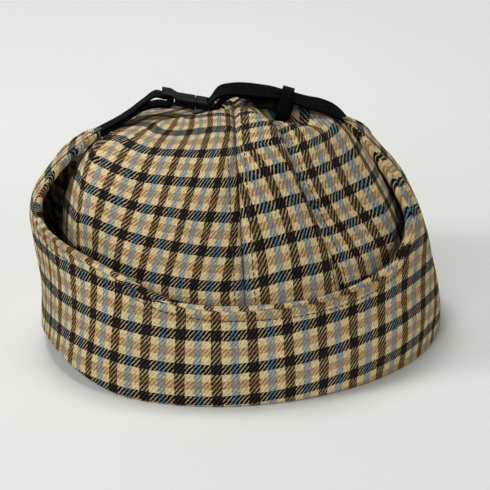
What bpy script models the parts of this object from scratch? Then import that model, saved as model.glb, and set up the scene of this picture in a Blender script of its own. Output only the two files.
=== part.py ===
"""Earflap cap in checked wool, with its flaps turned up and strapped over the crown.

Units are metres. +Z is up, -Y is the front and +X is on the right when the cap is seen from the front.
The cap rests on the fold of its band, on Z = 0. Bearings are degrees from the front, towards +X.
"""
import math

import bmesh
import bpy
import numpy as np
from mathutils import Matrix

# Named sizes
MM = 0.001
CLEARANCE = 0.35 * MM
BAND_HALF_WIDTH = 100.5 * MM
BAND_HALF_DEPTH = 106.0 * MM
BAND_HEIGHT = 47.0 * MM
BAND_THICKNESS = 5.0 * MM
FOLD_RADIUS = 1.3 * MM
FOOT_HEIGHT = 8.0 * MM
FLAP_LENGTH_LEFT = 124.0 * MM
FLAP_LENGTH_RIGHT = 119.0 * MM
CROWN_HEIGHT = 117.6 * MM
CROWN_SHIFT = 3.0 * MM
CROWN_THICKNESS = 3.0 * MM
SEAM_GAP = 0.6 * MM
SEAM_SINK = 1.0 * MM
PILLOW = 1.4 * MM
APEX_RADIUS = 2.0 * MM
WEBBING_WIDTH = 15.0 * MM
WEBBING_THICKNESS = 1.3 * MM
KEEPER_WIDTH = 6.0 * MM
BUCKLE_SIDE_PLAY = 0.6 * MM
BUCKLE_ARM = 1.4 * MM
BUCKLE_WALL = 1.1 * MM
BUCKLE_BAR = 1.6 * MM
BUCKLE_RISE = 5.2 * MM
SOCKET_LENGTH = 16.8 * MM
SOCKET_HEIGHT = 4.0 * MM
HOOD_THICKNESS = 1.0 * MM
HOOD_RISE = 1.5 * MM
PLUG_LENGTH = 5.4 * MM
PLUG_HEIGHT = 3.3 * MM
PRONG_LENGTH = 8.4 * MM
BUCKLE_SLOPE = -13.0
BUCKLE_ROLL = -4.0

# Places of the buckle and the keeper across the crown, as shares of the band's half width
BUCKLE_PLACE = -0.316
KEEPER_PLACE = 0.290

# How far the flaps swing towards the sides as they stand out, in radians
FLAP_SWING = 0.25

# Sizes worked out from those above
BUCKLE_WIDTH = WEBBING_WIDTH + 2 * (BUCKLE_SIDE_PLAY + BUCKLE_ARM)
LOOP_RADIUS = BUCKLE_BAR * math.sqrt(0.5) + CLEARANCE + WEBBING_THICKNESS / 2
LOOP_REACH = LOOP_RADIUS + WEBBING_THICKNESS / 2 + CLEARANCE

# Crown rows from the top to the rim: reach as a share of the band's half depth or half width,
# rise as a share of the crown's height over the foot
CROWN_ROWS = [
    # front_reach, front_rise, left_reach, left_rise, right_reach, right_rise, back_reach, back_rise
    (0.000, 0.980, 0.000, 0.980, 0.000, 0.980, 0.000, 0.980),
    (0.104, 0.996, 0.119, 0.966, 0.100, 0.968, 0.104, 0.976),
    (0.208, 1.000, 0.239, 0.957, 0.189, 0.946, 0.208, 0.963),
    (0.331, 0.992, 0.368, 0.944, 0.299, 0.927, 0.331, 0.927),
    (0.462, 0.973, 0.488, 0.914, 0.408, 0.892, 0.462, 0.880),
    (0.585, 0.930, 0.587, 0.862, 0.498, 0.833, 0.585, 0.818),
    (0.689, 0.858, 0.667, 0.785, 0.577, 0.736, 0.689, 0.732),
    (0.764, 0.742, 0.731, 0.677, 0.662, 0.629, 0.764, 0.625),
    (0.816, 0.596, 0.781, 0.553, 0.731, 0.510, 0.816, 0.505),
    (0.854, 0.440, 0.826, 0.419, 0.781, 0.386, 0.854, 0.381),
    (0.882, 0.289, 0.876, 0.279, 0.826, 0.268, 0.882, 0.268),
    (0.903, 0.139, 0.930, 0.139, 0.876, 0.139, 0.903, 0.139),
    (0.924, 0.000, 0.975, 0.000, 0.915, 0.000, 0.924, 0.000),
]

# Bearings of the crown seams at even steps from the top to the rim
CROWN_SEAMS = [
    # top, upper, middle, lower, rim
    (0.0, 0.0, 0.0, 0.0, 0.0),
    (31.0, 28.0, 21.5, 29.0, 31.0),
    (118.0, 118.0, 118.0, 118.0, 118.0),
    (180.0, 180.0, 180.0, 180.0, 180.0),
    (211.0, 211.0, 211.0, 211.0, 211.0),
    (298.0, 298.0, 298.0, 298.0, 298.0),
]

# Soft dents and swells: place and spread as shares of the band's half width, rise as a share of the
# crown's height, depth as a share of the spread
CROWN_DENTS = [
    # x, y, rise, spread, depth
    (0.290, -0.150, 0.930, 0.105, 0.68),
    (-0.100, 0.030, 0.960, 0.110, 0.55),
    (-0.220, 0.020, 0.950, 0.100, 0.16),
    (-0.340, -0.700, 0.680, 0.160, 0.14),
    (-0.120, -0.860, 0.660, 0.140, -0.11),
]

# Outlines of the turned-up cloth: distance out as a share of the half width (half depth in front),
# rise as a share of the crown's height
FLAP_LEFT = [
    # out, rise
    (1.000, 0.000), (1.000, 0.047), (0.985, 0.212), (0.989, 0.377), (1.006, 0.527), (1.010, 0.599),
    (0.990, 0.676), (0.930, 0.750), (0.830, 0.818), (0.739, 0.867), (0.674, 0.895), (0.612, 0.910),
    (0.480, 0.940), (0.300, 0.990),
]
FLAP_RIGHT = [
    # out, rise
    (1.000, 0.000), (1.003, 0.024), (0.999, 0.162), (0.983, 0.246), (0.961, 0.352), (0.932, 0.466),
    (0.893, 0.553), (0.823, 0.657), (0.770, 0.716), (0.716, 0.777), (0.650, 0.845), (0.602, 0.880),
    (0.560, 0.903), (0.450, 0.950), (0.300, 0.990),
]
FLAP_FRONT = [
    # out, rise
    (1.000, 0.000), (1.002, 0.026), (0.929, 0.408), (0.858, 0.850), (0.811, 1.105), (0.745, 1.400),
]

# Top edge of the band from the front round each side to the back: 0 is the band's own height and
# 1 is the flap's full length
EDGE_LEFT = [
    # bearing, share
    (0, 0.000), (14, 0.020), (25, 0.065), (32, 0.117), (39, 0.169), (46, 0.214), (54, 0.247), (61, 0.273),
    (67, 0.305), (71, 0.364), (74, 0.455), (76.5, 0.584), (78.5, 0.740), (80.5, 0.883), (83.5, 0.968),
    (90, 1.000), (93, 0.970), (96, 0.900), (100, 0.800), (106, 0.700), (114, 0.600), (122, 0.520),
    (132, 0.420), (142, 0.310), (152, 0.200), (162, 0.100), (172, 0.030), (180, 0.000),
]
EDGE_RIGHT = [
    # bearing, share
    (0, 0.000), (14, -0.007), (25, -0.007), (32, 0.000), (39, 0.014), (46, 0.035), (54, 0.069), (61, 0.125),
    (65, 0.181), (68, 0.278), (70, 0.431), (71.5, 0.611), (73, 0.778), (75.5, 0.896), (79.5, 0.965),
    (90, 1.000), (93, 0.970), (96, 0.900), (100, 0.800), (106, 0.700), (114, 0.600), (122, 0.520),
    (132, 0.420), (142, 0.310), (152, 0.200), (162, 0.100), (172, 0.030), (180, 0.000),
]

# Where the rim's fold stands off the surface and where the rim swells outwards
RIM_CHANGES = {
    # name: bearing, half spread in degrees, share of the band's height or half width
    "lift": (286.0, 42.0, 0.150),
    "swell": (52.0, 44.0, 0.018),
}

# Webbing between two ends: share of the way, rise over the straight line and place across it as
# shares of the webbing's width, twist in degrees
LEFT_UPPER = [
    # way, rise, across, twist
    (0.12, 0.06, 0.03, -4.0),
    (0.26, 0.12, 0.02, -8.0),
    (0.48, 0.20, 0.00, -9.0),
    (0.68, 0.28, 0.00, -7.0),
    (0.86, 0.26, 0.00, -4.0),
]
LEFT_LOWER = [
    # way, rise, across, twist
    (0.13, 0.00, -0.03, -4.0),
    (0.30, 0.02, -0.06, -5.0),
    (0.48, 0.03, -0.08, -5.0),
    (0.66, 0.02, -0.08, -3.0),
    (0.86, 0.00, -0.04, -2.0),
]
RIGHT_UPPER = [
    # way, rise, across, twist
    (0.05, 0.15, 0.00, 6.0),
    (0.11, 0.24, 0.02, 10.0),
    (0.19, 0.30, 0.05, 11.0),
    (0.29, 0.34, 0.08, 9.0),
    (0.38, 0.44, 0.12, 7.0),
    (0.46, 0.51, 0.16, 6.0),
    (0.55, 0.54, 0.19, 8.0),
    (0.64, 0.52, 0.21, 10.0),
    (0.74, 0.49, 0.22, 10.0),
    (0.84, 0.42, 0.18, 8.0),
    (0.92, 0.30, 0.08, 5.0),
]

# The loose end under the right webbing, from the plug's bar to the keeper: share of the way, drop
# below the upper layer in webbing thicknesses, place across it as a share of the width, twist
RIGHT_TAIL = [
    # way, drop, across, twist
    (0.10, 2.60, -0.08, 0.0),
    (0.22, 1.60, 0.02, 4.0),
    (0.36, 1.30, 0.08, 8.0),
    (0.50, 1.45, 0.00, 11.0),
    (0.64, 2.10, -0.22, 16.0),
    (0.76, 2.80, -0.42, 22.0),
    (0.88, 3.20, -0.52, 25.0),
    (1.00, 3.30, -0.55, 25.0),
]


def curve(table, column, at):
    """Reads one column of a table at the places given by its first column."""
    rows = np.asarray(table, float)
    return np.interp(at, rows[:, 0], rows[:, column])


def along(outline, reach, length):
    """Reads distance out and rise at a length along an outline."""
    rows = np.asarray(outline, float) * (reach, CROWN_HEIGHT)
    steps = np.diff(rows, axis=0)
    at = np.concatenate([[0.0], np.cumsum(np.hypot(steps[:, 0], steps[:, 1]))])
    return np.interp(length, at, rows[:, 0]), np.interp(length, at, rows[:, 1])


def band_surface(bearing, length):
    """Point on the outside of the band: bearing in degrees, length up the cloth from the rim."""
    t = np.radians(bearing)
    side = np.sin(t) ** 2
    front_out, front_up = along(FLAP_FRONT, BAND_HALF_DEPTH, length)
    left_out, left_up = along(FLAP_LEFT, BAND_HALF_WIDTH, length)
    right_out, right_up = along(FLAP_RIGHT, BAND_HALF_WIDTH, length)
    left = np.sin(t) < 0
    side_shift = np.where(left, left_out, right_out) - BAND_HALF_WIDTH
    front_shift = front_out - BAND_HALF_DEPTH
    fade = np.maximum(1 - length / (2 * BAND_HEIGHT), 0.0)
    swell = rim_change("swell", bearing) * BAND_HALF_WIDTH * fade
    shift = (1 - side) * front_shift + side * side_shift + swell
    up = (1 - side) * front_up + side * np.where(left, left_up, right_up)
    swing = t + FLAP_SWING * np.sin(2 * t)
    x = BAND_HALF_WIDTH * np.sin(t) + shift * np.sin(swing)
    y = -BAND_HALF_DEPTH * np.cos(t) - shift * np.cos(swing)
    return np.stack([x, y, up], axis=-1)


def band_point(bearing, length, inward):
    """Point a depth inside the band's cloth, found from its outside surface and its normal."""
    half_step = 0.5
    step = 1.0 * MM
    low = np.maximum(length - step, 0.0)
    across = band_surface(bearing + half_step, length) - band_surface(bearing - half_step, length)
    upward = band_surface(bearing, low + 2 * step) - band_surface(bearing, low)
    normal = np.cross(across, upward)
    normal /= np.linalg.norm(normal, axis=-1, keepdims=True)
    return band_surface(bearing, length) - normal * np.asarray(inward)[..., None]


def band_edge(bearing):
    """Length of the cloth from the rim to the band's top edge at a bearing."""
    turn = bearing % 360
    right = turn < 180
    share = np.where(right, curve(EDGE_RIGHT, 1, turn), curve(EDGE_LEFT, 1, 360 - turn))
    flap = np.where(right, FLAP_LENGTH_RIGHT, FLAP_LENGTH_LEFT)
    return BAND_HEIGHT + share * (flap - BAND_HEIGHT)


def rim_change(name, bearing):
    """Smooth local change of the rim at a bearing, nought outside its spread."""
    centre, spread, share = RIM_CHANGES[name]
    away = np.minimum(np.abs((bearing - centre + 180.0) % 360.0 - 180.0) / spread, 1.0)
    return share * np.cos(0.5 * np.pi * away) ** 2


def rim_lift(bearing):
    """Height of the rim's fold over the surface at a bearing."""
    return rim_change("lift", bearing) * BAND_HEIGHT


def crown_point(bearing, row):
    """Point on the outside of the crown: bearing in degrees, row as a number along CROWN_ROWS."""
    rows = np.asarray(CROWN_ROWS, float)
    t = np.radians(bearing)
    s, c = np.sin(t), np.cos(t)

    def read(column):
        return np.interp(row, np.arange(len(rows)), rows[:, column])

    deep = np.where(c > 0, read(0), read(6)) * BAND_HALF_DEPTH
    wide = np.where(s < 0, read(2), read(4)) * BAND_HALF_WIDTH
    rise = np.where(c > 0, read(1), read(7)) * c ** 2 + np.where(s < 0, read(3), read(5)) * s ** 2
    reach = deep * wide / np.maximum(np.hypot(deep * s, wide * c), 1e-9)
    foot = FOOT_HEIGHT + rim_lift(bearing)
    up = foot + rise * (CROWN_HEIGHT - foot)
    return np.stack([CROWN_SHIFT + reach * s, -reach * c, up], axis=-1)


def grid_normals(points):
    """Unit normals of a grid of points, from its rows and columns."""
    normal = np.cross(np.gradient(points, axis=0), np.gradient(points, axis=1))
    return normal / np.maximum(np.linalg.norm(normal, axis=-1, keepdims=True), 1e-12)


def dented(points):
    """Moves points towards the middle of the crown by the soft dents, or away from it by the swells."""
    middle = np.array([CROWN_SHIFT, 0.0, BAND_HEIGHT])
    moved = points.copy()
    for x, y, rise, spread, depth in CROWN_DENTS:
        centre = np.array([x * BAND_HALF_WIDTH, y * BAND_HALF_WIDTH, rise * CROWN_HEIGHT])
        inward = (middle - centre) / np.linalg.norm(middle - centre)
        width = spread * BAND_HALF_WIDTH
        share = np.exp(-np.sum((points - centre) ** 2, axis=-1) / (2 * width ** 2))
        moved += inward * (share * depth * width)[..., None]
    return moved


def tucked(points):
    """Keeps the lower part of the crown's wall inside the band's wall, a clearance away from it."""
    bearing = np.degrees(np.arctan2(points[..., 0], -points[..., 1]))
    wall = band_point(bearing, np.maximum(points[..., 2], 0.0), BAND_THICKNESS + 2 * CLEARANCE)
    limit = np.hypot(wall[..., 0], wall[..., 1])
    share = np.minimum(1.0, limit / np.maximum(np.hypot(points[..., 0], points[..., 1]), 1e-9))
    low = points[..., 2] < 0.6 * CROWN_HEIGHT
    moved = points.copy()
    moved[..., :2] *= np.where(low, share, 1.0)[..., None]
    return moved


def panel_outside(start, end, rows, columns):
    """Outside grid of one panel between two seams, with its swell and the crown's dents."""
    last_row = len(CROWN_ROWS) - 1.0
    first_row = APEX_RADIUS / (CROWN_ROWS[1][0] * BAND_HALF_DEPTH)
    row = np.linspace(first_row, last_row, rows)
    down = row / last_row
    knots = np.linspace(0.0, 1.0, len(start))
    first = np.interp(down, knots, start)
    last = np.interp(down, knots, end)
    trims = []
    for seam in (first, last):
        spot = crown_point(seam, row)
        trims.append(np.degrees(0.5 * SEAM_GAP / np.hypot(spot[:, 0] - CROWN_SHIFT, spot[:, 1])))
    share = np.linspace(0.0, 1.0, columns)
    width = last - first - trims[0] - trims[1]
    bearing = (first + trims[0])[:, None] + width[:, None] * share
    points = crown_point(bearing, row[:, None] + 0 * bearing)
    normals = grid_normals(points)
    from_seam = np.minimum(share, 1 - share)
    swell = PILLOW * np.sin(np.pi * share) ** 0.8 - SEAM_SINK * np.exp(-(from_seam / 0.05) ** 2)
    fade = np.sin(np.pi * down ** 0.7) ** 0.6
    points = points + normals * (fade[:, None] * swell)[..., None]
    return tucked(dented(points))


def loft(name, rings, material, closed=False):
    """Joins closed section rings into one solid: capped at its ends, or closed into a loop."""
    count, corners = rings.shape[:2]
    faces = []
    for i in range(count if closed else count - 1):
        n = (i + 1) % count
        for j in range(corners):
            k = (j + 1) % corners
            faces.append((i * corners + j, i * corners + k, n * corners + k, n * corners + j))
    if not closed:
        for base in (0, (count - 1) * corners):
            for j in range(corners // 2 - 1):
                far = corners - 1 - j
                faces.append((base + j, base + j + 1, base + far - 1, base + far))
    work = bmesh.new()
    spots = [work.verts.new(point) for point in rings.reshape(-1, 3)]
    for face in faces:
        work.faces.new([spots[i] for i in face])
    return finish(name, work, material)


def finish(name, work, material):
    """Turns a bmesh into a named object with outward triangles and a material."""
    bmesh.ops.recalc_face_normals(work, faces=work.faces)
    if work.calc_volume(signed=True) < 0:
        bmesh.ops.reverse_faces(work, faces=work.faces)
    bmesh.ops.triangulate(work, faces=work.faces)
    mesh = bpy.data.meshes.new(name)
    work.to_mesh(mesh)
    work.free()
    mesh.materials.append(material)
    item = bpy.data.objects.new(name, mesh)
    bpy.context.scene.collection.objects.link(item)
    return item


def plain_material(name, colour, roughness):
    """Makes a plain surface with one colour and roughness."""
    material = bpy.data.materials.new(name)
    material.use_nodes = True
    surface = material.node_tree.nodes["Principled BSDF"]
    surface.inputs["Base Color"].default_value = (*colour, 1.0)
    surface.inputs["Roughness"].default_value = roughness
    return material


def crown_panel(number, material):
    """One crown panel: a cloth shell of even thickness between two seams."""
    start = np.array(CROWN_SEAMS[number])
    end = np.array(CROWN_SEAMS[(number + 1) % len(CROWN_SEAMS)])
    end = end + 360.0 * (end[-1] < start[-1])
    columns = 4 + int((end[-1] - start[-1]) / 8)
    outside = panel_outside(start, end, 16, columns)
    normals = grid_normals(outside)
    centre = np.array([CROWN_SHIFT, 0.0, 0.0])
    ray = (outside - centre) * (1.0, 1.0, 0.0)
    reach = np.linalg.norm(ray, axis=-1, keepdims=True)
    ray /= reach
    lean = np.sum(normals * ray, axis=-1, keepdims=True)
    lean *= np.clip((reach - 2 * CROWN_THICKNESS) / (8 * CROWN_THICKNESS), 0.0, 1.0)
    inward = ray * lean + np.array([0.0, 0.0, 1.0]) * np.sqrt(1 - lean ** 2)
    inside = outside - inward * CROWN_THICKNESS
    inside[-1, :, 2] = outside[-1, :, 2]
    rings = np.concatenate([outside, inside[:, ::-1]], axis=1)
    loft(f"crown_panel_{number + 1}", rings, material)
    return outside.reshape(-1, 3), normals.reshape(-1, 3)


def flap_band(material):
    """The turned-up band: one ring whose section is a folded cloth wall with a foot under the crown."""
    bearings = set(range(0, 360, 5))
    bearings.update(row[0] for row in EDGE_RIGHT)
    bearings.update(360 - row[0] for row in EDGE_LEFT)
    bearings = np.array(sorted(b for b in bearings if b < 360), float)
    keep = np.concatenate([[True], np.diff(bearings) > 0.9])
    bearings = bearings[keep]
    edge = band_edge(bearings)
    base = rim_lift(bearings)
    start = base + 1.4 * FOLD_RADIUS
    half = BAND_THICKNESS / 2
    outer = band_surface(bearings, start)
    inwards = band_point(bearings, start, MM) - outer
    inwards[:, 2] = 0
    inwards /= np.linalg.norm(inwards, axis=1, keepdims=True)

    def level(depth, height):
        spot = outer + inwards * depth
        spot[:, 2] = base + height
        return spot

    def wall(share, depth):
        return band_point(bearings, start + (edge - start) * share, np.full_like(edge, depth))

    def lip(drop, depth):
        return band_point(bearings, edge - drop, np.full_like(edge, depth))

    foot = BAND_THICKNESS + 2 * CLEARANCE + CROWN_THICKNESS
    rings = [level(FOLD_RADIUS, 0.0), level(0.3 * FOLD_RADIUS, 0.35 * FOLD_RADIUS)]
    rings += [wall(share, 0.0) for share in (0.0, 0.15, 0.32, 0.5, 0.68, 0.84, 0.95)]
    rings += [lip(0.4 * half, 0.35 * half), lip(0.0, half), lip(0.4 * half, 1.65 * half)]
    rings += [wall(share, BAND_THICKNESS) for share in (0.95, 0.84, 0.68, 0.5, 0.32)]
    rings += [level(BAND_THICKNESS, FOOT_HEIGHT - 2 * CLEARANCE), level(foot, FOOT_HEIGHT - 2 * CLEARANCE)]
    rings += [level(foot + 0.3 * FOLD_RADIUS, 0.3 * FOOT_HEIGHT), level(foot - 0.5 * FOLD_RADIUS, 0.0)]
    loft("flap_band", np.stack(rings, axis=1), material, closed=True)


def buckle_frame():
    """Places the buckle: its length runs along its own X, its width along Y and its top face is Z = 0."""
    place = Matrix.Translation((BUCKLE_PLACE * BAND_HALF_WIDTH, -CLEARANCE, CROWN_HEIGHT + BUCKLE_RISE))
    slope = Matrix.Rotation(math.radians(-BUCKLE_SLOPE), 4, "Y")
    roll = Matrix.Rotation(math.radians(BUCKLE_ROLL), 4, "X")
    return place @ slope @ roll


def slab(name, outline, half_width, material):
    """Stretches a side outline of (length, height) points across the buckle's width."""
    work = bmesh.new()
    near = [work.verts.new((x, -half_width, z)) for x, z in outline]
    far = [work.verts.new((x, half_width, z)) for x, z in outline]
    work.faces.new(near)
    work.faces.new(far)
    for i in range(len(outline)):
        k = (i + 1) % len(outline)
        work.faces.new((near[i], near[k], far[k], far[i]))
    item = finish(name, work, material)
    item.matrix_world = buckle_frame()
    return item


def block(target, name, operation, low, high):
    """Adds or takes away a box given by two corners in the buckle's frame."""
    outline = [(low[0], low[2]), (high[0], low[2]), (high[0], high[2]), (low[0], high[2])]
    tool = slab(name, outline, (high[1] - low[1]) / 2, target.data.materials[0])
    tool.matrix_world = buckle_frame() @ Matrix.Translation((0.0, (low[1] + high[1]) / 2, 0.0))
    tool.hide_render = True
    tool.display_type = "WIRE"
    change = target.modifiers.new(name, "BOOLEAN")
    change.operation = operation
    change.object = tool


def socket_bar():
    """Centre of the socket's bar in the buckle's frame: length and height."""
    return LOOP_REACH + 2 * CLEARANCE, HOOD_RISE - HOOD_THICKNESS - LOOP_REACH


def plug_bar():
    """Centre of the plug's bar in the buckle's frame: length and height."""
    return SOCKET_LENGTH + CLEARANCE + PLUG_LENGTH + LOOP_REACH, -0.4 * PLUG_HEIGHT


def prong_level():
    """Lowest and highest level of the hollow that takes the prongs."""
    return -SOCKET_HEIGHT + BUCKLE_WALL + 0.4 * MM, -BUCKLE_WALL


def buckle_socket(material):
    """The hollow half: a hood over the webbing's bar, a box with a mouth, and a window each side."""
    bar_at, bar_level = socket_bar()
    body = bar_at + LOOP_REACH
    hood = HOOD_RISE - HOOD_THICKNESS
    half = BUCKLE_WIDTH / 2
    slot = WEBBING_WIDTH / 2 + BUCKLE_SIDE_PLAY
    bar = BUCKLE_BAR / 2
    outline = [
        (0.0, hood), (0.0, HOOD_RISE), (0.65 * body, HOOD_RISE), (1.1 * body, 0.0), (SOCKET_LENGTH, 0.0),
        (SOCKET_LENGTH, -SOCKET_HEIGHT), (body, -0.8 * SOCKET_HEIGHT), (body, hood),
    ]
    socket = slab("buckle_socket", outline, half, material)
    low, high = prong_level()
    end = SOCKET_LENGTH - PRONG_LENGTH
    block(socket, "socket_ladder", "UNION",
          (bar_at - bar, -half, bar_level - bar), (body + CLEARANCE, half, bar_level + bar))
    block(socket, "socket_slot", "DIFFERENCE",
          (bar_at + bar, -slot, bar_level - 2 * bar), (body, slot, bar_level + 2 * bar))
    block(socket, "socket_mouth", "DIFFERENCE",
          (end, -half + BUCKLE_WALL, low), (SOCKET_LENGTH + MM, half - BUCKLE_WALL, high))
    block(socket, "socket_windows", "DIFFERENCE",
          (end + 0.1 * PRONG_LENGTH, -half - MM, low), (end + 0.55 * PRONG_LENGTH, half + MM, high))


def buckle_plug(material):
    """The pronged half: a bar for the webbing, a plate and three prongs that stand in the socket."""
    bar_at, bar_level = plug_bar()
    half = BUCKLE_WIDTH / 2
    slot = WEBBING_WIDTH / 2 + BUCKLE_SIDE_PLAY
    bar = BUCKLE_BAR / 2
    back = SOCKET_LENGTH + CLEARANCE
    end = bar_at + bar
    shoulder = bar_at - LOOP_REACH
    outline = [
        (back, -PLUG_HEIGHT), (shoulder, -PLUG_HEIGHT), (bar_at - bar, bar_level - bar), (end, bar_level - bar),
        (end, bar_level + bar), (bar_at - bar, bar_level + bar), (shoulder, 0.0), (back, 0.0),
    ]
    plug = slab("buckle_plug", outline, half, material)
    low, high = prong_level()
    low += CLEARANCE
    high -= CLEARANCE
    inner = half - BUCKLE_WALL - CLEARANCE
    tip = SOCKET_LENGTH - PRONG_LENGTH + CLEARANCE
    block(plug, "plug_slot", "DIFFERENCE",
          (bar_at - LOOP_REACH, -slot, -2 * PLUG_HEIGHT), (bar_at - bar, slot, PLUG_HEIGHT))
    block(plug, "plug_guide", "UNION", (tip, -0.1 * half, low), (back + CLEARANCE, 0.1 * half, high))
    for name, side in (("near", -1), ("far", 1)):
        edges = sorted((side * inner, side * 0.7 * inner))
        block(plug, f"plug_prong_{name}", "UNION", (tip, edges[0], low), (back + CLEARANCE, edges[1], high))
        edges = sorted((side * (half - CLEARANCE), side * 0.8 * inner))
        block(plug, f"plug_button_{name}", "UNION",
              (tip + 0.1 * PRONG_LENGTH, edges[0], low), (tip + 0.45 * PRONG_LENGTH, edges[1], high))


def turn_round(bar, start, end):
    """Places of webbing round a bar, from one bearing to another in the plane of length and height."""
    angles = np.radians(np.linspace(start, end, 2 + int(abs(end - start) / 28)))
    ring = np.stack([bar[0] + LOOP_RADIUS * np.cos(angles), 0 * angles, bar[1] + LOOP_RADIUS * np.sin(angles)], 1)
    frame = np.array(buckle_frame())
    return ring @ frame[:3, :3].T + frame[:3, 3], np.tile(frame[:3, 1], (len(ring), 1))


def flap_tip(bearing, flap_length, drop):
    """Where webbing leaves the end of a flap, between its two cloths."""
    tip = band_point(bearing, flap_length, BAND_THICKNESS * (0.5 + drop))
    back = band_point(bearing, flap_length - 4 * MM, BAND_THICKNESS * (0.5 + drop))
    out = (tip - back) / np.linalg.norm(tip - back)
    return tip + out * (2 * CLEARANCE)


def between(first, last, table):
    """Places between two ends by a table of way, rise, across and twist, and their across directions."""
    rows = np.asarray(table, float)
    places = first + (last - first) * rows[:, :1]
    places[:, 2] += rows[:, 1] * WEBBING_WIDTH
    places[:, 1] += rows[:, 2] * WEBBING_WIDTH
    return places, tilted(rows[:, 3])


def tilted(twists):
    """Directions across webbing that runs along X: level, or with the far edge raised by a twist."""
    turn = np.radians(twists)
    return np.stack([0 * turn, np.cos(turn), np.sin(turn)], axis=1)


def sections(places, across):
    """Flat eight-cornered sections of webbing square to its run, one for each place."""
    steps = np.diff(places, axis=0)
    steps /= np.linalg.norm(steps, axis=1, keepdims=True)
    tangent = np.concatenate([steps[:1], steps[:-1] + steps[1:], steps[-1:]])
    tangent /= np.linalg.norm(tangent, axis=1, keepdims=True)
    across = across - tangent * np.sum(across * tangent, axis=1, keepdims=True)
    across /= np.linalg.norm(across, axis=1, keepdims=True)
    normal = np.cross(tangent, across)
    width = WEBBING_WIDTH / 2
    thick = WEBBING_THICKNESS / 2
    corners = [(-1, 0.4), (-0.96, 1), (0.96, 1), (1, 0.4), (1, -0.4), (0.96, -1), (-0.96, -1), (-1, -0.4)]
    return np.stack([places + across * width * a + normal * thick * b for a, b in corners], axis=1)


def raised(rings, crown, gaps):
    """Lifts each section until it lies at least its gap above the crown's cloth."""
    points, normals = crown
    spots = rings.reshape(-1, 3)
    apart = np.linalg.norm(spots[:, None] - points[None], axis=2)
    nearest = apart.argmin(axis=1)
    height = np.sum((spots - points[nearest]) * normals[nearest], axis=1)
    lack = np.repeat(gaps, rings.shape[1]) - height
    lift = np.maximum(lack, 0.0) / np.maximum(normals[nearest, 2], 0.4)
    lift = np.where(apart.min(axis=1) < WEBBING_WIDTH, lift, 0.0).reshape(rings.shape[:2]).max(axis=1)
    rings[:, :, 2] += lift[:, None]
    return rings


def strap_left(crown, material):
    """Webbing from the left flap over the socket's bar and back under itself to the flap."""
    loop, loop_across = turn_round(socket_bar(), 125.0, -75.0)
    upper = flap_tip(270.0, FLAP_LENGTH_LEFT, -0.12)
    lower = flap_tip(270.0, FLAP_LENGTH_LEFT, 0.30)
    out, out_across = between(upper, loop[0], LEFT_UPPER)
    back, back_across = between(lower, loop[-1], LEFT_LOWER)
    places = np.concatenate([[upper], out, loop, back[::-1], [lower]])
    across = np.concatenate([tilted([0.0]), out_across, loop_across, back_across[::-1], tilted([0.0])])
    gaps = np.full(len(places), 2 * CLEARANCE)
    loft("strap_left", raised(sections(places, across), crown, gaps), material)


def strap_right(crown, material):
    """Webbing from the right flap over the plug's bar and back under itself to the keeper."""
    loop, loop_across = turn_round(plug_bar(), 130.0, 320.0)
    start = flap_tip(90.0, FLAP_LENGTH_RIGHT, 0.0)
    out, out_across = between(start, loop[0], RIGHT_UPPER)
    tail = np.asarray(RIGHT_TAIL, float)
    end = KEEPER_PLACE * BAND_HALF_WIDTH + 0.4 * KEEPER_WIDTH
    along_x = loop[-1, 0] + (end - loop[-1, 0]) * tail[:, 0]
    back = np.stack([np.interp(along_x, out[::-1, 0], out[::-1, axis]) for axis in range(3)], axis=1)
    back[:, 1] += tail[:, 2] * WEBBING_WIDTH
    back[:, 2] -= tail[:, 1] * WEBBING_THICKNESS
    places = np.concatenate([[start], out, loop, back])
    across = np.concatenate([tilted([0.0]), out_across, loop_across, tilted(tail[:, 3])])
    in_keeper = np.abs(places[:, 0] - KEEPER_PLACE * BAND_HALF_WIDTH) < 1.5 * KEEPER_WIDTH
    gaps = 2 * CLEARANCE + in_keeper * (WEBBING_THICKNESS + CLEARANCE)
    rings = raised(sections(places, across), crown, gaps)
    loft("strap_right", rings, material)
    return rings


def keeper(rings, material):
    """Closed loop of narrow webbing round both layers of the right strap, on an even offset of them."""
    centres = rings.mean(axis=1)
    near = np.argsort(np.abs(centres[:, 0] - KEEPER_PLACE * BAND_HALF_WIDTH))
    upper = near[near < len(rings) // 2][0]
    run = centres[upper - 1] - centres[upper + 1]
    run /= np.linalg.norm(run)
    centre = np.array([KEEPER_PLACE * BAND_HALF_WIDTH, 0.0, centres[upper, 2]])
    level = np.array([0.0, 1.0, 0.0])
    level -= run * run[1]
    level /= np.linalg.norm(level)
    up = np.cross(run, level)
    spots = rings[np.abs((centres - centre) @ run) < 2.2 * KEEPER_WIDTH].reshape(-1, 3) - centre
    spots = spots[np.abs(spots @ run) < 0.9 * KEEPER_WIDTH]
    angles = np.radians(np.arange(0.0, 360.0, 15.0))
    step = angles[1]
    facing = np.stack([np.cos(angles), np.sin(angles)], 1)
    flat = np.stack([spots @ level, spots @ up], 1)
    support = (flat @ facing.T).max(axis=0)
    loops = []
    for depth in (CLEARANCE, CLEARANCE + WEBBING_THICKNESS):
        reach = support + depth
        slide = (np.roll(reach, -1) - reach * math.cos(step)) / math.sin(step)
        side = np.stack([-facing[:, 1], facing[:, 0]], 1)
        loops.append(facing * reach[:, None] + side * slide[:, None])
    rings = []
    for flat, way in ((loops[0], -1), (loops[0], 1), (loops[1], 1), (loops[1], -1)):
        rings.append(centre + flat[:, :1] * level + flat[:, 1:] * up + run * (way * KEEPER_WIDTH / 2))
    loft("keeper", np.stack(rings, axis=1), material, closed=True)


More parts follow.
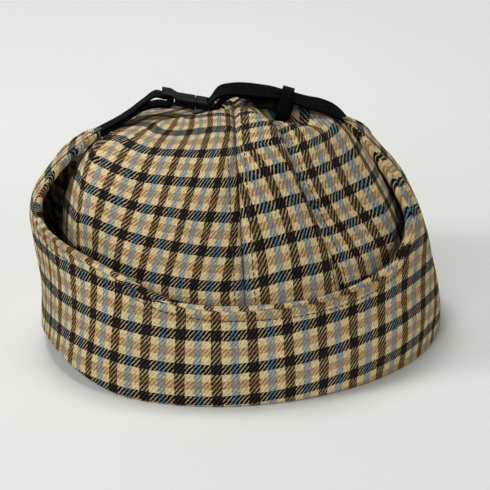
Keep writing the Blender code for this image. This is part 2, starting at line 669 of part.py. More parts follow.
if __name__ == "__main__":
    for item in list(bpy.data.objects):
        bpy.data.objects.remove(item)
    wool = plain_material("wool_check", (0.55, 0.45, 0.30), 0.9)
    webbing = plain_material("webbing_black", (0.012, 0.012, 0.014), 0.75)
    plastic = plain_material("plastic_black", (0.015, 0.015, 0.017), 0.4)
    panels = [crown_panel(number, wool) for number in range(len(CROWN_SEAMS))]
    crown = tuple(np.concatenate(part) for part in zip(*panels))
    flap_band(wool)
    buckle_socket(plastic)
    buckle_plug(plastic)
    strap_left(crown, webbing)
    keeper(strap_right(crown, webbing), webbing)
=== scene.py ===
"""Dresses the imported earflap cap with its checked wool, webbing, buckle and stitching, and sets the stage.

Every surface is a function of two parameters worked out on a numpy grid. Bearings are degrees from the
front of the cap, towards +X. Sizes are metres. Panels are numbered from the front seam towards +X, from 0.
"""
import math

import bmesh
import bpy
import numpy as np
from bpy.props import FloatProperty, FloatVectorProperty, PointerProperty
from mathutils import Matrix, Vector


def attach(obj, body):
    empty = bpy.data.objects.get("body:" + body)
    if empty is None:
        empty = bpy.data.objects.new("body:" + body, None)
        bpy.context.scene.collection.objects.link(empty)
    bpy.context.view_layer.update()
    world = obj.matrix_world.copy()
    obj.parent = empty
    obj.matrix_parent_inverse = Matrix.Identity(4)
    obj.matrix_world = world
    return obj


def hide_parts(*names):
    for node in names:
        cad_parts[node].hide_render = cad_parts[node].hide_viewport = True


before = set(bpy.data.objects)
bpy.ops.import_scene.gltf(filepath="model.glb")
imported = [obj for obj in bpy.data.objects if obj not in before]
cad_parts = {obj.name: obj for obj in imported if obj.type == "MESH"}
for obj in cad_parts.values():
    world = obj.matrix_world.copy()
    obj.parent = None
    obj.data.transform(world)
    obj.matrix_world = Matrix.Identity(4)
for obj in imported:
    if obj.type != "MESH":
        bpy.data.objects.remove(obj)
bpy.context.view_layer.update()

bl_info = {
    "name": "Earflap Cap",
    "version": (1, 0, 0),
    "blender": (4, 5, 0),
    "location": "3D View > Sidebar > Cap",
    "description": "Builds the visible cloth, webbing, buckle and stitching of an earflap cap",
    "category": "Object",
}

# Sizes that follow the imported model's, except that the flaps are a little longer and thinner here
MM = 0.001
CLEARANCE = 0.35 * MM
BAND_HALF_WIDTH = 100.5 * MM
BAND_HALF_DEPTH = 106.0 * MM
BAND_HEIGHT = 47.0 * MM
BAND_THICKNESS = 5.0 * MM
FOLD_RADIUS = 1.3 * MM
WALL_START = 1.4 * FOLD_RADIUS
FOOT_HEIGHT = 8.0 * MM
FLAP_LENGTH_LEFT = 127.0 * MM
FLAP_LENGTH_RIGHT = 121.0 * MM
FLAP_THICKNESS = 3.2 * MM
FLAP_SWING = 0.25
CROWN_HEIGHT = 117.6 * MM
CROWN_SHIFT = 3.0 * MM
CROWN_THICKNESS = 3.0 * MM
CROWN_TOP = 0.012
WEBBING_WIDTH = 15.0 * MM
WEBBING_THICKNESS = 1.3 * MM
KEEPER_WIDTH = 6.0 * MM
KEEPER_PLACE = 0.290
BUCKLE_BAR = 1.6 * MM
BUCKLE_RISE = 5.2 * MM
BUCKLE_PLACE = -0.316
BUCKLE_SLOPE = -13.0
BUCKLE_ROLL = -4.0
SOCKET_LENGTH = 16.8 * MM
HOOD_THICKNESS = 1.0 * MM
HOOD_RISE = 1.5 * MM
PLUG_LENGTH = 5.4 * MM
PLUG_HEIGHT = 3.3 * MM
LOOP_RADIUS = BUCKLE_BAR * math.sqrt(0.5) + CLEARANCE + WEBBING_THICKNESS / 2
LOOP_REACH = LOOP_RADIUS + WEBBING_THICKNESS / 2 + CLEARANCE
THREAD_RADIUS = 0.27 * MM

# Band's sewn edge: how far down it reaches, its folded facing and the sewn line under it, the shift of the
# facing's check in repeats, and the face of the section where the inner cloth with painted shade starts
SEWN_EDGE = 10.0 * MM
FACING_LINE = 2.3 * MM
STITCH_LINE = 6.6 * MM
FACING_SHIFT = (0.20, -0.08)
INNER_WALL = 72
BAND_RELIEF = [
    # distance from the edge, width, rise
    (FACING_LINE, 0.45 * MM, -0.45 * MM), (3.6 * MM, 1.8 * MM, 0.5 * MM), (STITCH_LINE, 0.8 * MM, -0.6 * MM),
]
BAND_WAVES = [
    # wavelength, depth
    (42 * MM, 1.1 * MM), (17 * MM, 0.35 * MM),
]
CROWN_WAVES = [(34 * MM, 0.9 * MM)]

# Repeat of the check in the cloth
COLUMN_PITCH = 17.6 * MM
ROW_PITCH = 16.2 * MM

# Crown rows from the top to the rim: reach as a share of the band's half depth or half width,
# rise as a share of the crown's height over the foot
CROWN_ROWS = [
    # front_reach, front_rise, left_reach, left_rise, right_reach, right_rise, back_reach, back_rise
    (0.000, 0.980, 0.000, 0.980, 0.000, 0.980, 0.000, 0.980),
    (0.104, 0.996, 0.119, 0.966, 0.100, 0.968, 0.104, 0.976),
    (0.208, 1.000, 0.239, 0.957, 0.189, 0.946, 0.208, 0.963),
    (0.331, 0.992, 0.368, 0.944, 0.299, 0.927, 0.331, 0.927),
    (0.462, 0.973, 0.488, 0.914, 0.414, 0.899, 0.462, 0.880),
    (0.585, 0.930, 0.624, 0.876, 0.524, 0.844, 0.585, 0.818),
    (0.689, 0.858, 0.724, 0.799, 0.620, 0.748, 0.689, 0.732),
    (0.764, 0.742, 0.800, 0.680, 0.704, 0.629, 0.764, 0.625),
    (0.816, 0.596, 0.853, 0.553, 0.768, 0.510, 0.816, 0.505),
    (0.854, 0.440, 0.880, 0.419, 0.797, 0.386, 0.854, 0.381),
    (0.882, 0.289, 0.900, 0.279, 0.826, 0.268, 0.882, 0.268),
    (0.903, 0.139, 0.935, 0.139, 0.876, 0.139, 0.903, 0.139),
    (0.924, 0.000, 0.975, 0.000, 0.915, 0.000, 0.924, 0.000),
]
CROWN_SEAMS = [
    # top, upper, middle, lower, rim
    (0.0, 0.0, 0.0, 0.0, 0.0),
    (31.0, 28.0, 21.5, 29.0, 31.0),
    (118.0, 118.0, 118.0, 118.0, 118.0),
    (180.0, 180.0, 180.0, 180.0, 180.0),
    (211.0, 211.0, 211.0, 211.0, 211.0),
    (298.0, 298.0, 298.0, 298.0, 298.0),
]
# How far each seam is pulled in, how wide its valley is, and how far the panels swell between valleys
SEAM_VALLEYS = [
    # sink, width
    (2.4 * MM, 1.1 * MM), (2.2 * MM, 1.3 * MM), (0.9 * MM, 2.2 * MM),
    (0.9 * MM, 2.2 * MM), (0.9 * MM, 2.2 * MM), (0.2 * MM, 1.2 * MM),
]
SEAM_SWELL = 0.7
CROWN_STITCHING = [
    # panel, side of the panel, distance from its seam
    (5, 1, 5.5 * MM), (0, 0, 5.0 * MM), (0, 1, 4.0 * MM), (1, 0, 4.0 * MM),
]
CROWN_DENTS = [
    # x, y, rise, spread, depth
    (0.290, -0.150, 0.930, 0.105, 0.68),
    (-0.100, 0.030, 0.960, 0.110, 0.55),
    (-0.220, 0.020, 0.950, 0.100, 0.16),
    (-0.340, -0.700, 0.680, 0.160, 0.14),
    (-0.120, -0.860, 0.660, 0.140, -0.11),
]
FLAP_LEFT = [
    # out, rise
    (1.000, 0.000), (1.000, 0.047), (0.985, 0.212), (0.989, 0.377), (1.006, 0.527), (1.007, 0.590),
    (0.983, 0.662), (0.925, 0.724), (0.828, 0.806), (0.739, 0.863), (0.674, 0.895), (0.612, 0.910),
    (0.480, 0.940), (0.300, 0.990),
]
FLAP_RIGHT = [
    # out, rise
    (1.000, 0.000), (1.003, 0.024), (0.999, 0.162), (0.983, 0.246), (0.961, 0.352), (0.932, 0.466),
    (0.893, 0.553), (0.823, 0.657), (0.770, 0.716), (0.716, 0.777), (0.650, 0.845), (0.602, 0.880),
    (0.560, 0.903), (0.450, 0.950), (0.300, 0.990),
]
FLAP_FRONT = [
    # out, rise
    (1.000, 0.000), (1.002, 0.026), (0.929, 0.408), (0.858, 0.850), (0.811, 1.105), (0.745, 1.400),
]
EDGE_LEFT = [
    # bearing, share
    (0, 0.000), (14, 0.020), (25, 0.065), (32, 0.117), (39, 0.169), (46, 0.214), (54, 0.247),
    (61, 0.273), (67, 0.300), (72, 0.350), (76.5, 0.445), (80, 0.584), (82.3, 0.740), (83.6, 0.883),
    (84.8, 0.965), (87.5, 1.000), (90, 1.000), (93, 0.940), (96, 0.830), (100, 0.690), (106, 0.580),
    (114, 0.500), (122, 0.435), (132, 0.360), (142, 0.270), (152, 0.180), (162, 0.095), (172, 0.030),
    (180, 0.000),
]
EDGE_RIGHT = [
    # bearing, share
    (0, 0.000), (14, -0.007), (25, -0.007), (32, 0.000), (39, 0.014), (46, 0.035), (54, 0.069),
    (61, 0.125), (65, 0.160), (70, 0.255), (74.5, 0.431), (78, 0.611), (80.5, 0.778), (82.3, 0.896),
    (84.5, 0.965), (87.5, 1.000), (90, 1.000), (93, 0.970), (96, 0.900), (100, 0.800), (106, 0.700),
    (114, 0.600), (122, 0.520), (132, 0.420), (142, 0.310), (152, 0.200), (162, 0.100), (172, 0.030),
    (180, 0.000),
]
RIM_CHANGES = {
    # name: bearing, half spread in degrees, share of the band's height or half width
    "lift": (287.0, 44.0, 0.215),
    "swell": (52.0, 44.0, 0.018),
}

# Webbing between two ends: share of the way, rise or drop and place across, as shares of its width, or of
# its thickness for a drop, and twist in degrees
LEFT_UPPER = [
    # way, rise, across, twist
    (0.12, 0.01, 0.03, -2.0),
    (0.26, 0.02, 0.02, -3.0),
    (0.48, 0.08, 0.00, -3.0),
    (0.68, 0.19, 0.00, -3.0),
    (0.86, 0.24, 0.00, -3.0),
]
LEFT_LOWER = [
    # way, rise, across, twist
    (0.13, 0.04, -0.01, -2.0),
    (0.30, 0.10, -0.02, -3.0),
    (0.48, 0.18, -0.03, -3.0),
    (0.66, 0.25, -0.03, -3.0),
    (0.86, 0.16, -0.02, -2.0),
]
RIGHT_UPPER = [
    # way, rise, across, twist
    (0.05, 0.18, 0.00, 6.0),
    (0.11, 0.31, 0.02, 10.0),
    (0.19, 0.39, 0.05, 11.0),
    (0.29, 0.42, 0.08, 9.0),
    (0.38, 0.47, 0.12, 7.0),
    (0.46, 0.51, 0.16, 6.0),
    (0.55, 0.54, 0.19, 8.0),
    (0.64, 0.52, 0.21, 10.0),
    (0.74, 0.50, 0.22, 10.0),
    (0.84, 0.44, 0.18, 8.0),
    (0.92, 0.33, 0.08, 5.0),
]
RIGHT_TAIL = [
    # way, drop, across, twist
    (0.10, 2.60, -0.08, 0.0),
    (0.22, 1.60, 0.02, 4.0),
    (0.36, 1.30, 0.08, 8.0),
    (0.50, 1.45, 0.00, 11.0),
    (0.64, 2.10, -0.22, 16.0),
    (0.76, 2.80, -0.42, 22.0),
    (0.88, 3.20, -0.52, 25.0),
    (1.00, 3.30, -0.55, 25.0),
]

# Soft creases in the crown: two ends as bearing and share of the way down, width and depth
CREASES = [
    # bearing, down, bearing, down, width, depth
    (318.0, 0.40, 308.0, 0.62, 3.0 * MM, 0.9 * MM),
    (334.0, 0.36, 338.0, 0.90, 7.0 * MM, 0.9 * MM),
    (47.0, 0.30, 40.0, 0.62, 4.0 * MM, 0.8 * MM),
]

# Lay of the check: each value is a factor, and its key the product it stands before. In the keys, s is
# the distance across in column pitches and h the length up from the rim in row pitches. Reach holds the
# least and most s, and the least and most h, for which the sums hold.
BAND_LAY = {
    "columns": {"1": 1.7382, "s": 1.0434, "h": -0.0317, "ss": 0.0234, "sh": -0.0247, "hh": 0.0038,
                "sss": 0.0008, "ssh": -0.0085, "ssss": -0.0004},
    "rows": {"1": -0.2714, "s": -0.0605, "h": 1.0901, "ss": -0.0133, "sh": 0.0214, "hh": -0.0070,
             "sss": 0.0005, "ssh": -0.0009, "ssss": 0.0002},
    "reach": (-7.8, 8.6, 0.2, 3.6),
}
LEFT_LAY = {
    "columns": {"1": 1.6431, "s": 0.7661, "h": 0.1868, "ss": -0.1607, "sh": 0.0957, "hh": -0.0812,
                "sss": -0.0073, "ssh": 0.0367, "shh": 0.0094, "hhh": 0.0051},
    "rows": {"1": -2.9338, "s": -0.4428, "h": 0.9662, "ss": -0.1100, "sh": 0.2002, "hh": 0.0275,
             "sss": -0.0126, "ssh": 0.0132, "shh": -0.0217, "hhh": -0.0032},
    "reach": (-6.0, 0.0, 2.8, 8.1),
}
MIDDLE_LAY = {
    "columns": {"1": 0.2422, "s": 0.9899, "h": -0.5136, "ss": 0.0230, "sh": 0.0222, "hh": 0.0789,
                "shh": 0.0016},
    "rows": {"1": -2.6620, "s": -0.1146, "h": 0.9152, "ss": 0.0525, "sh": -0.0462, "hh": 0.0072,
             "shh": 0.0038},
    "reach": (0.0, 2.4, 2.9, 7.1),
}
RIGHT_LAY = {
    "columns": {"1": -2.4535, "s": 1.4415, "h": 0.6322, "ss": -0.1821, "sh": -0.0188, "hh": -0.0536,
                "shh": 0.0002},
    "rows": {"1": -4.0119, "s": 0.2546, "h": 1.3107, "ss": 0.0424, "sh": -0.1300, "hh": -0.0163,
             "shh": 0.0108},
    "reach": (0.0, 2.85, 2.9, 6.9),
}
REAR_LAY = {
    "columns": {"1": 0.57, "s": 1.0},
    "rows": {"1": -2.53, "h": 1.0},
    "reach": (-20.0, 20.0, 0.0, 20.0),
}
PLAIN_LAY = {
    "columns": {"1": 0.3, "s": 1.0},
    "rows": {"1": -0.4, "h": 1.0},
    "reach": (-9.0, 9.0, 0.0, 9.0),
}
# Lay of each panel, and whether its distance across starts at its first seam or ends at its last
PANEL_LAYS = [(MIDDLE_LAY, "first"), (RIGHT_LAY, "first"), (PLAIN_LAY, "first"), (PLAIN_LAY, "last"),
              (LEFT_LAY, "last"), (LEFT_LAY, "last")]
# Panel behind the left flap: its check carries on from the front panel's, and gives way to a plain lay
# between these distances across
REAR_PANEL = 4
REAR_FADE = (-4.6, -6.2)

# Stage, in metres: half width, near end, wall and its curve, lights, and where the camera looks
FLOOR_HALF_WIDTH, FLOOR_REACH, WALL_PLACE, WALL_CURVE = 5.0, 4.0, 2.0, 0.8
CAP_MIDDLE, WALL_MIDDLE = (0.0, 0.0, 0.06), (0.0, 2.0, 0.3)
LIGHTS = [
    # name, place, target, size, power
    ("key", (-1.45, -0.35, 0.95), CAP_MIDDLE, 0.5, 13.0),
    ("front", (-0.4, -1.5, 0.9), CAP_MIDDLE, 0.8, 8.5),
    ("fill", (1.2, -1.2, 0.5), CAP_MIDDLE, 0.8, 6.5),
    ("top", (-0.3, 0.5, 1.8), CAP_MIDDLE, 0.6, 13.0),
    ("back", (0.0, 0.5, 1.6), WALL_MIDDLE, 0.8, 9.0),
]
WORLD_COLOUR, WORLD_LIGHT = (0.93, 0.96, 1.0, 1.0), 0.11
CAMERA_AIM = (0.00465, 0.0, 0.0416)


# Curves and surfaces

def smooth(table, column, at):
    """Reads a column of a table at places in its first column, on a cubic through its rows."""
    rows = np.asarray(table, float)
    x, y = rows[:, 0], rows[:, column]
    slope = np.gradient(y, x)
    at = np.clip(at, x[0], x[-1])
    i = np.clip(np.searchsorted(x, at, side="right") - 1, 0, len(x) - 2)
    width = x[i + 1] - x[i]
    t = (at - x[i]) / width
    return ((1 + 2 * t) * (1 - t) ** 2 * y[i] + t * (1 - t) ** 2 * width * slope[i]
            + t ** 2 * (3 - 2 * t) * y[i + 1] + t ** 2 * (t - 1) * width * slope[i + 1])


def unit(vectors):
    """Vectors made one long."""
    return vectors / np.maximum(np.linalg.norm(vectors, axis=-1, keepdims=True), 1e-12)


def run_along(places):
    """Length along a path from its start to each of its places."""
    return np.concatenate([[0.0], np.cumsum(np.linalg.norm(np.diff(places, axis=0), axis=-1))])


def bell(away, width):
    """Bell curve: one in the middle, and 1/e a width away from it."""
    return np.exp(-(away / width) ** 2)


def along(outline, reach, length):
    """Distance out and rise at a length along an outline, on a cubic through its points."""
    rows = np.asarray(outline, float) * (reach, CROWN_HEIGHT)
    table = np.column_stack([run_along(rows), rows])
    return smooth(table, 1, length), smooth(table, 2, length)


def ripple(points, waves):
    """Mean of six sine waves in fixed directions, times the depth, and summed over the wavelengths."""
    ways = unit(np.array([[1, 0.3, 0.2], [-0.4, 1, 0.3], [0.3, -0.5, 1], [0.8, 0.7, -0.4],
                          [-0.6, 0.5, 0.8], [0.2, 0.9, -0.9]]))
    phase = np.array([0.3, 1.9, 4.1, 2.7, 5.3, 0.9])
    stretch = np.array([1.0, 0.83, 1.21, 0.71, 1.13, 0.93])
    run = points @ ways.T * stretch * 2 * np.pi
    return sum(depth * np.sin(run / wave + phase).mean(axis=-1) for wave, depth in waves)


def rim_change(name, bearing):
    """Smooth local change of the rim at a bearing: a squared cosine, zero outside its spread."""
    centre, spread, share = RIM_CHANGES[name]
    away = np.minimum(np.abs((bearing - centre + 180.0) % 360.0 - 180.0) / spread, 1.0)
    return share * np.cos(0.5 * np.pi * away) ** 2


def rim_lift(bearing):
    """Height of the rim's fold over the surface at a bearing."""
    return rim_change("lift", bearing) * BAND_HEIGHT


def band_surface(bearing, length):
    """Outside of the band: an ellipse whose radius follows the front or side outline up the cloth."""
    t = np.radians(bearing)
    side = np.sin(t) ** 2
    front_out, front_up = along(FLAP_FRONT, BAND_HALF_DEPTH, length)
    left_out, left_up = along(FLAP_LEFT, BAND_HALF_WIDTH, length)
    right_out, right_up = along(FLAP_RIGHT, BAND_HALF_WIDTH, length)
    left = np.sin(t) < 0
    side_shift = np.where(left, left_out, right_out) - BAND_HALF_WIDTH
    front_shift = front_out - BAND_HALF_DEPTH
    fade = np.maximum(1 - length / (2 * BAND_HEIGHT), 0.0)
    swell = rim_change("swell", bearing) * BAND_HALF_WIDTH * fade
    shift = (1 - side) * front_shift + side * side_shift + swell
    up = (1 - side) * front_up + side * np.where(left, left_up, right_up)
    swing = t + FLAP_SWING * np.sin(2 * t)
    x = BAND_HALF_WIDTH * np.sin(t) + shift * np.sin(swing)
    y = -BAND_HALF_DEPTH * np.cos(t) - shift * np.cos(swing)
    return np.stack([x, y, up], axis=-1)


def band_normal(bearing, length):
    """Outward unit normal of the band, from small steps round and up."""
    step = 1.0 * MM
    low = np.maximum(length - step, 0.0)
    across = band_surface(bearing + 0.5, length) - band_surface(bearing - 0.5, length)
    upward = band_surface(bearing, low + 2 * step) - band_surface(bearing, low)
    return unit(np.cross(across, upward))


def band_point(bearing, length, inward):
    """Point a depth inside the band's cloth."""
    return band_surface(bearing, length) - band_normal(bearing, length) * np.asarray(inward)[..., None]


def band_edge(bearing):
    """Length of the cloth from the rim to the band's top edge at a bearing."""
    turn = bearing % 360
    right = turn < 180
    share = np.where(right, smooth(EDGE_RIGHT, 1, turn), smooth(EDGE_LEFT, 1, 360 - turn))
    flap = np.where(right, FLAP_LENGTH_RIGHT, FLAP_LENGTH_LEFT)
    return BAND_HEIGHT + share * (flap - BAND_HEIGHT)


def band_waves(bearing, length):
    """Waves of the band's cloth, growing from nothing at its foot over the first 20 mm."""
    free = np.clip((length - rim_lift(bearing) - WALL_START) / (20 * MM), 0.0, 1.0)
    return free * ripple(band_surface(bearing, length), BAND_WAVES)


def round_distance(bearing):
    """Distance round the band from the front, positive towards +X, for bearings from -180 to 180."""
    fine = np.radians(np.linspace(-180.0, 180.0, 1441))
    speed = np.hypot(BAND_HALF_WIDTH * np.cos(fine), BAND_HALF_DEPTH * np.sin(fine))
    distance = np.concatenate([[0.0], np.cumsum(0.5 * (speed[1:] + speed[:-1]) * np.diff(fine))])
    distance -= distance[len(fine) // 2]
    return np.interp(np.radians(bearing), fine, distance)


def crown_point(bearing, row):
    """Outside of the crown: four quarter ellipses whose reach and rise follow the rows' tables."""
    rows = np.column_stack([np.arange(len(CROWN_ROWS)), np.asarray(CROWN_ROWS, float)])
    t = np.radians(bearing)
    s, c = np.sin(t), np.cos(t)

    def read(column):
        return smooth(rows, column + 1, row)

    deep = np.where(c > 0, read(0), read(6)) * BAND_HALF_DEPTH
    wide = np.where(s < 0, read(2), read(4)) * BAND_HALF_WIDTH
    rise = np.where(c > 0, read(1), read(7)) * c ** 2 + np.where(s < 0, read(3), read(5)) * s ** 2
    reach = deep * wide / np.maximum(np.hypot(deep * s, wide * c), 1e-9)
    foot = FOOT_HEIGHT + rim_lift(bearing)
    up = foot + rise * (CROWN_HEIGHT - foot)
    return np.stack([CROWN_SHIFT + reach * s, -reach * c, up], axis=-1)


def grid_normals(points):
    """Unit normals of a grid of points, from its rows and columns."""
    return unit(np.cross(np.gradient(points, axis=0), np.gradient(points, axis=1)))


def dented(points):
    """Moves points towards the crown's middle by round dents and soft creases, or away from it by swells."""
    middle = np.array([CROWN_SHIFT, 0.0, BAND_HEIGHT])
    moved = points.copy()
    for x, y, rise, spread, depth in CROWN_DENTS:
        centre = np.array([x * BAND_HALF_WIDTH, y * BAND_HALF_WIDTH, rise * CROWN_HEIGHT])
        width = spread * BAND_HALF_WIDTH
        share = bell(np.linalg.norm(points - centre, axis=-1), math.sqrt(2) * width)
        moved += unit(middle - centre) * (share * depth * width)[..., None]
    last = len(CROWN_ROWS) - 1
    for bearing_a, down_a, bearing_b, down_b, width, depth in CREASES:
        a = crown_point(np.float64(bearing_a), np.float64(down_a * last))
        b = crown_point(np.float64(bearing_b), np.float64(down_b * last))
        way = np.clip((points - a) @ (b - a) / np.sum((b - a) ** 2), 0.0, 1.0)
        away = np.linalg.norm(points - (a + way[..., None] * (b - a)), axis=-1)
        moved += unit(middle - (a + b) / 2) * (bell(away, width) * depth)[..., None]
    return moved


def tucked(points):
    """Keeps the lower part of the crown's wall inside the band's wall."""
    bearing = np.degrees(np.arctan2(points[..., 0], -points[..., 1]))
    wall = band_point(bearing, np.maximum(points[..., 2], 0.0), BAND_THICKNESS + 2 * CLEARANCE)
    limit = np.hypot(wall[..., 0], wall[..., 1])
    share = np.minimum(1.0, limit / np.maximum(np.hypot(points[..., 0], points[..., 1]), 1e-9))
    low = points[..., 2] < 0.6 * CROWN_HEIGHT
    moved = points.copy()
    moved[..., :2] *= np.where(low, share, 1.0)[..., None]
    return moved


def panel_seams(number):
    """Seam tables of a panel's two sides, the second one turned on past the first."""
    start = np.array(CROWN_SEAMS[number])
    end = np.array(CROWN_SEAMS[(number + 1) % len(CROWN_SEAMS)])
    return start, end + 360.0 * (end[-1] < start[-1])


def panel_bearing(number, share, down):
    """Bearing at a share of the way across a panel and a share of the way down it."""
    start, end = panel_seams(number)
    knots = np.linspace(0.0, 1.0, len(start))
    first = smooth(np.column_stack([knots, start]), 1, down)
    last = smooth(np.column_stack([knots, end]), 1, down)
    return first + (last - first) * share


def panel_outside(number, share, down):
    """Outside of a panel: the crown's surface, swelling between its seams and sunk along them."""
    points = crown_point(panel_bearing(number, share, down), down * (len(CROWN_ROWS) - 1.0))
    normals = grid_normals(points)
    width = np.linalg.norm(points[:, -1:] - points[:, :1], axis=-1)
    swell = 0.0
    for seam, away in ((number, share * width), ((number + 1) % len(CROWN_SEAMS), (1 - share) * width)):
        sink, spread = SEAM_VALLEYS[seam]
        swell = swell + sink * (SEAM_SWELL * (1 - bell(away, 4 * spread)) - bell(away, spread))
    fade = np.sin(np.pi * down ** 0.7) ** 0.6
    points = points + normals * (fade * swell)[..., None]
    points = points + normals * (fade * ripple(points, CROWN_WAVES))[..., None]
    return tucked(dented(points))


def panel_grid(number, columns, rows, top, bottom=1.0):
    """Outside of a panel on an even grid: columns across it, and rows between two shares of its height."""
    share, down = np.meshgrid(np.linspace(0.0, 1.0, columns), np.linspace(top, bottom, rows))
    return panel_outside(number, share, down)


# Meshes

def make_piece(name, points, faces, materials, uv=None, slots=None, crease=50.0):
    """Puts whole arrays of points and quads into a mesh, outward, smooth and with its check coordinates."""
    corners = points[faces]
    fan = np.cross(corners[:, 1] - corners[:, 0], corners[:, 2] - corners[:, 0])
    fan += np.cross(corners[:, 2] - corners[:, 0], corners[:, 3] - corners[:, 0])
    if np.sum(corners[:, 0] * fan) < 0:
        faces = faces[:, ::-1]
        uv = None if uv is None else uv[:, ::-1]
    mesh = bpy.data.meshes.new(name)
    mesh.vertices.add(len(points))
    mesh.vertices.foreach_set("co", points.ravel())
    mesh.loops.add(faces.size)
    mesh.loops.foreach_set("vertex_index", np.ascontiguousarray(faces).ravel())
    mesh.polygons.add(len(faces))
    mesh.polygons.foreach_set("loop_start", np.arange(0, faces.size, 4))
    mesh.update(calc_edges=True)
    for material in materials:
        mesh.materials.append(material)
    if slots is not None:
        mesh.polygons.foreach_set("material_index", slots)
    if uv is not None:
        layer = mesh.uv_layers.new(name="check")
        layer.data.foreach_set("uv", np.ascontiguousarray(uv).ravel())
    mesh.validate()
    mesh.set_sharp_from_angle(angle=math.radians(crease))
    item = bpy.data.objects.new(name, mesh)
    bpy.context.scene.collection.objects.link(item)
    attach(item, "root")
    return item


def loft(name, rings, materials, uv=None, slots=None, closed=False, crease=50.0):
    """Joins closed section rings: quads between neighbours in both ways, and quads over open ends."""
    count, corners = rings.shape[:2]
    i = np.arange(count if closed else count - 1)[:, None]
    j = np.arange(corners)[None]
    n, k = (i + 1) % count, (j + 1) % corners
    faces = np.stack([i * corners + j, i * corners + k, n * corners + k, n * corners + j], -1)
    face_slots = None if slots is None else np.broadcast_to(slots, faces.shape[:2]).ravel()
    wide = corners + 1
    places = np.stack([i * wide + j, i * wide + j + 1, (i + 1) * wide + j + 1, (i + 1) * wide + j], -1)
    face_uv = None if uv is None else uv.reshape(-1, 2)[places.reshape(-1, 4)]
    faces = faces.reshape(-1, 4)
    if not closed:
        half = np.arange(corners // 2 - 1)
        far = corners - 1 - half
        cap = np.stack([half, half + 1, far - 1, far], -1)
        ends = np.concatenate([cap[:, ::-1], cap + (count - 1) * corners])
        faces = np.concatenate([faces, ends])
        if uv is not None:
            flat = uv[:, :-1].reshape(-1, 2)
            face_uv = np.concatenate([face_uv, flat[ends]])
        if slots is not None:
            face_slots = np.concatenate([face_slots, np.full(len(ends), slots[0])])
    return make_piece(name, rings.reshape(-1, 3), faces, materials, face_uv, face_slots, crease)


def lay_out(lay, s, h):
    """Columns and rows of the check: sums of a lay's products inside its reach, straight on outside it."""
    left, right, low, high = lay["reach"]
    near_s, near_h = np.clip(s, left, right), np.clip(h, low, high)
    pair = []
    for name, total in (("columns", s - near_s), ("rows", h - near_h)):
        for term, factor in lay[name].items():
            total = total + factor * near_s ** term.count("s") * near_h ** term.count("h")
        pair.append(total)
    return np.stack(pair, axis=-1)


# Materials

class Maker:
    """Adds and links nodes of one material."""

    def __init__(self, name):
        self.material = bpy.data.materials.new(name)
        self.material.use_nodes = True
        self.tree = self.material.node_tree
        self.surface = self.tree.nodes["Principled BSDF"]
        self.place = self.node("ShaderNodeTexCoord", 3)

    def put(self, socket, value):
        if isinstance(value, bpy.types.NodeSocket):
            self.tree.links.new(value, socket)
        else:
            socket.default_value = value

    def node(self, kind, output=0, inputs=(), **settings):
        """A node with its settings and inputs, given by number or name; returns one of its outputs."""
        node = self.tree.nodes.new(kind)
        for key, value in settings.items():
            setattr(node, key, value)
        for key, value in dict(inputs).items():
            self.put(node.inputs[key], value)
        return node.outputs[output]

    def math(self, operation, a, b=0.0, c=0.0, clamp=False):
        return self.node("ShaderNodeMath", 0, {0: a, 1: b, 2: c}, operation=operation, use_clamp=clamp)

    def mix(self, share, a, b, kind="MIX"):
        node = self.tree.nodes.new("ShaderNodeMix")
        node.data_type = "RGBA"
        node.blend_type = kind
        self.put(node.inputs[0], share)
        self.put(node.inputs[6], a)
        self.put(node.inputs[7], b)
        return node.outputs[2]

    def check(self):
        """Sockets of the piece's own check coordinates, across and along."""
        uv = self.node("ShaderNodeUVMap", 0, uv_map="check")
        split = self.node("ShaderNodeSeparateXYZ", 0, {0: uv}).node
        return split.outputs[0], split.outputs[1]

    def noise(self, scale, detail=2.0, rough=0.5):
        """Noise in the object's own coordinates."""
        return self.node("ShaderNodeTexNoise", 0, {"Vector": self.place, "Scale": scale, "Detail": detail,
                                                   "Roughness": rough})

    def stripes(self, place, colours):
        """Colour of a stripe by its share of the repeat: rows of start and colour."""
        node = self.tree.nodes.new("ShaderNodeValToRGB")
        ramp = node.color_ramp
        ramp.interpolation = "CONSTANT"
        for _ in range(len(colours) - 2):
            ramp.elements.new(0.5)
        for element, (start, colour) in zip(ramp.elements, colours):
            element.position = start
            element.color = (*colour, 1.0)
        self.put(node.inputs[0], self.math("FRACT", place))
        return node.outputs[0]

    def bump(self, height, distance):
        normal = self.node("ShaderNodeBump", 0, {"Height": height, "Distance": distance, "Strength": 1.0})
        self.put(self.surface.inputs["Normal"], normal)

    def done(self, **values):
        for key, value in values.items():
            self.put(self.surface.inputs[key.replace("_", " ")], value)
        return self.material


def toned(colour, share=1.0):
    """A colour times a share, with full opacity."""
    return (*[share * value for value in colour], 1.0)


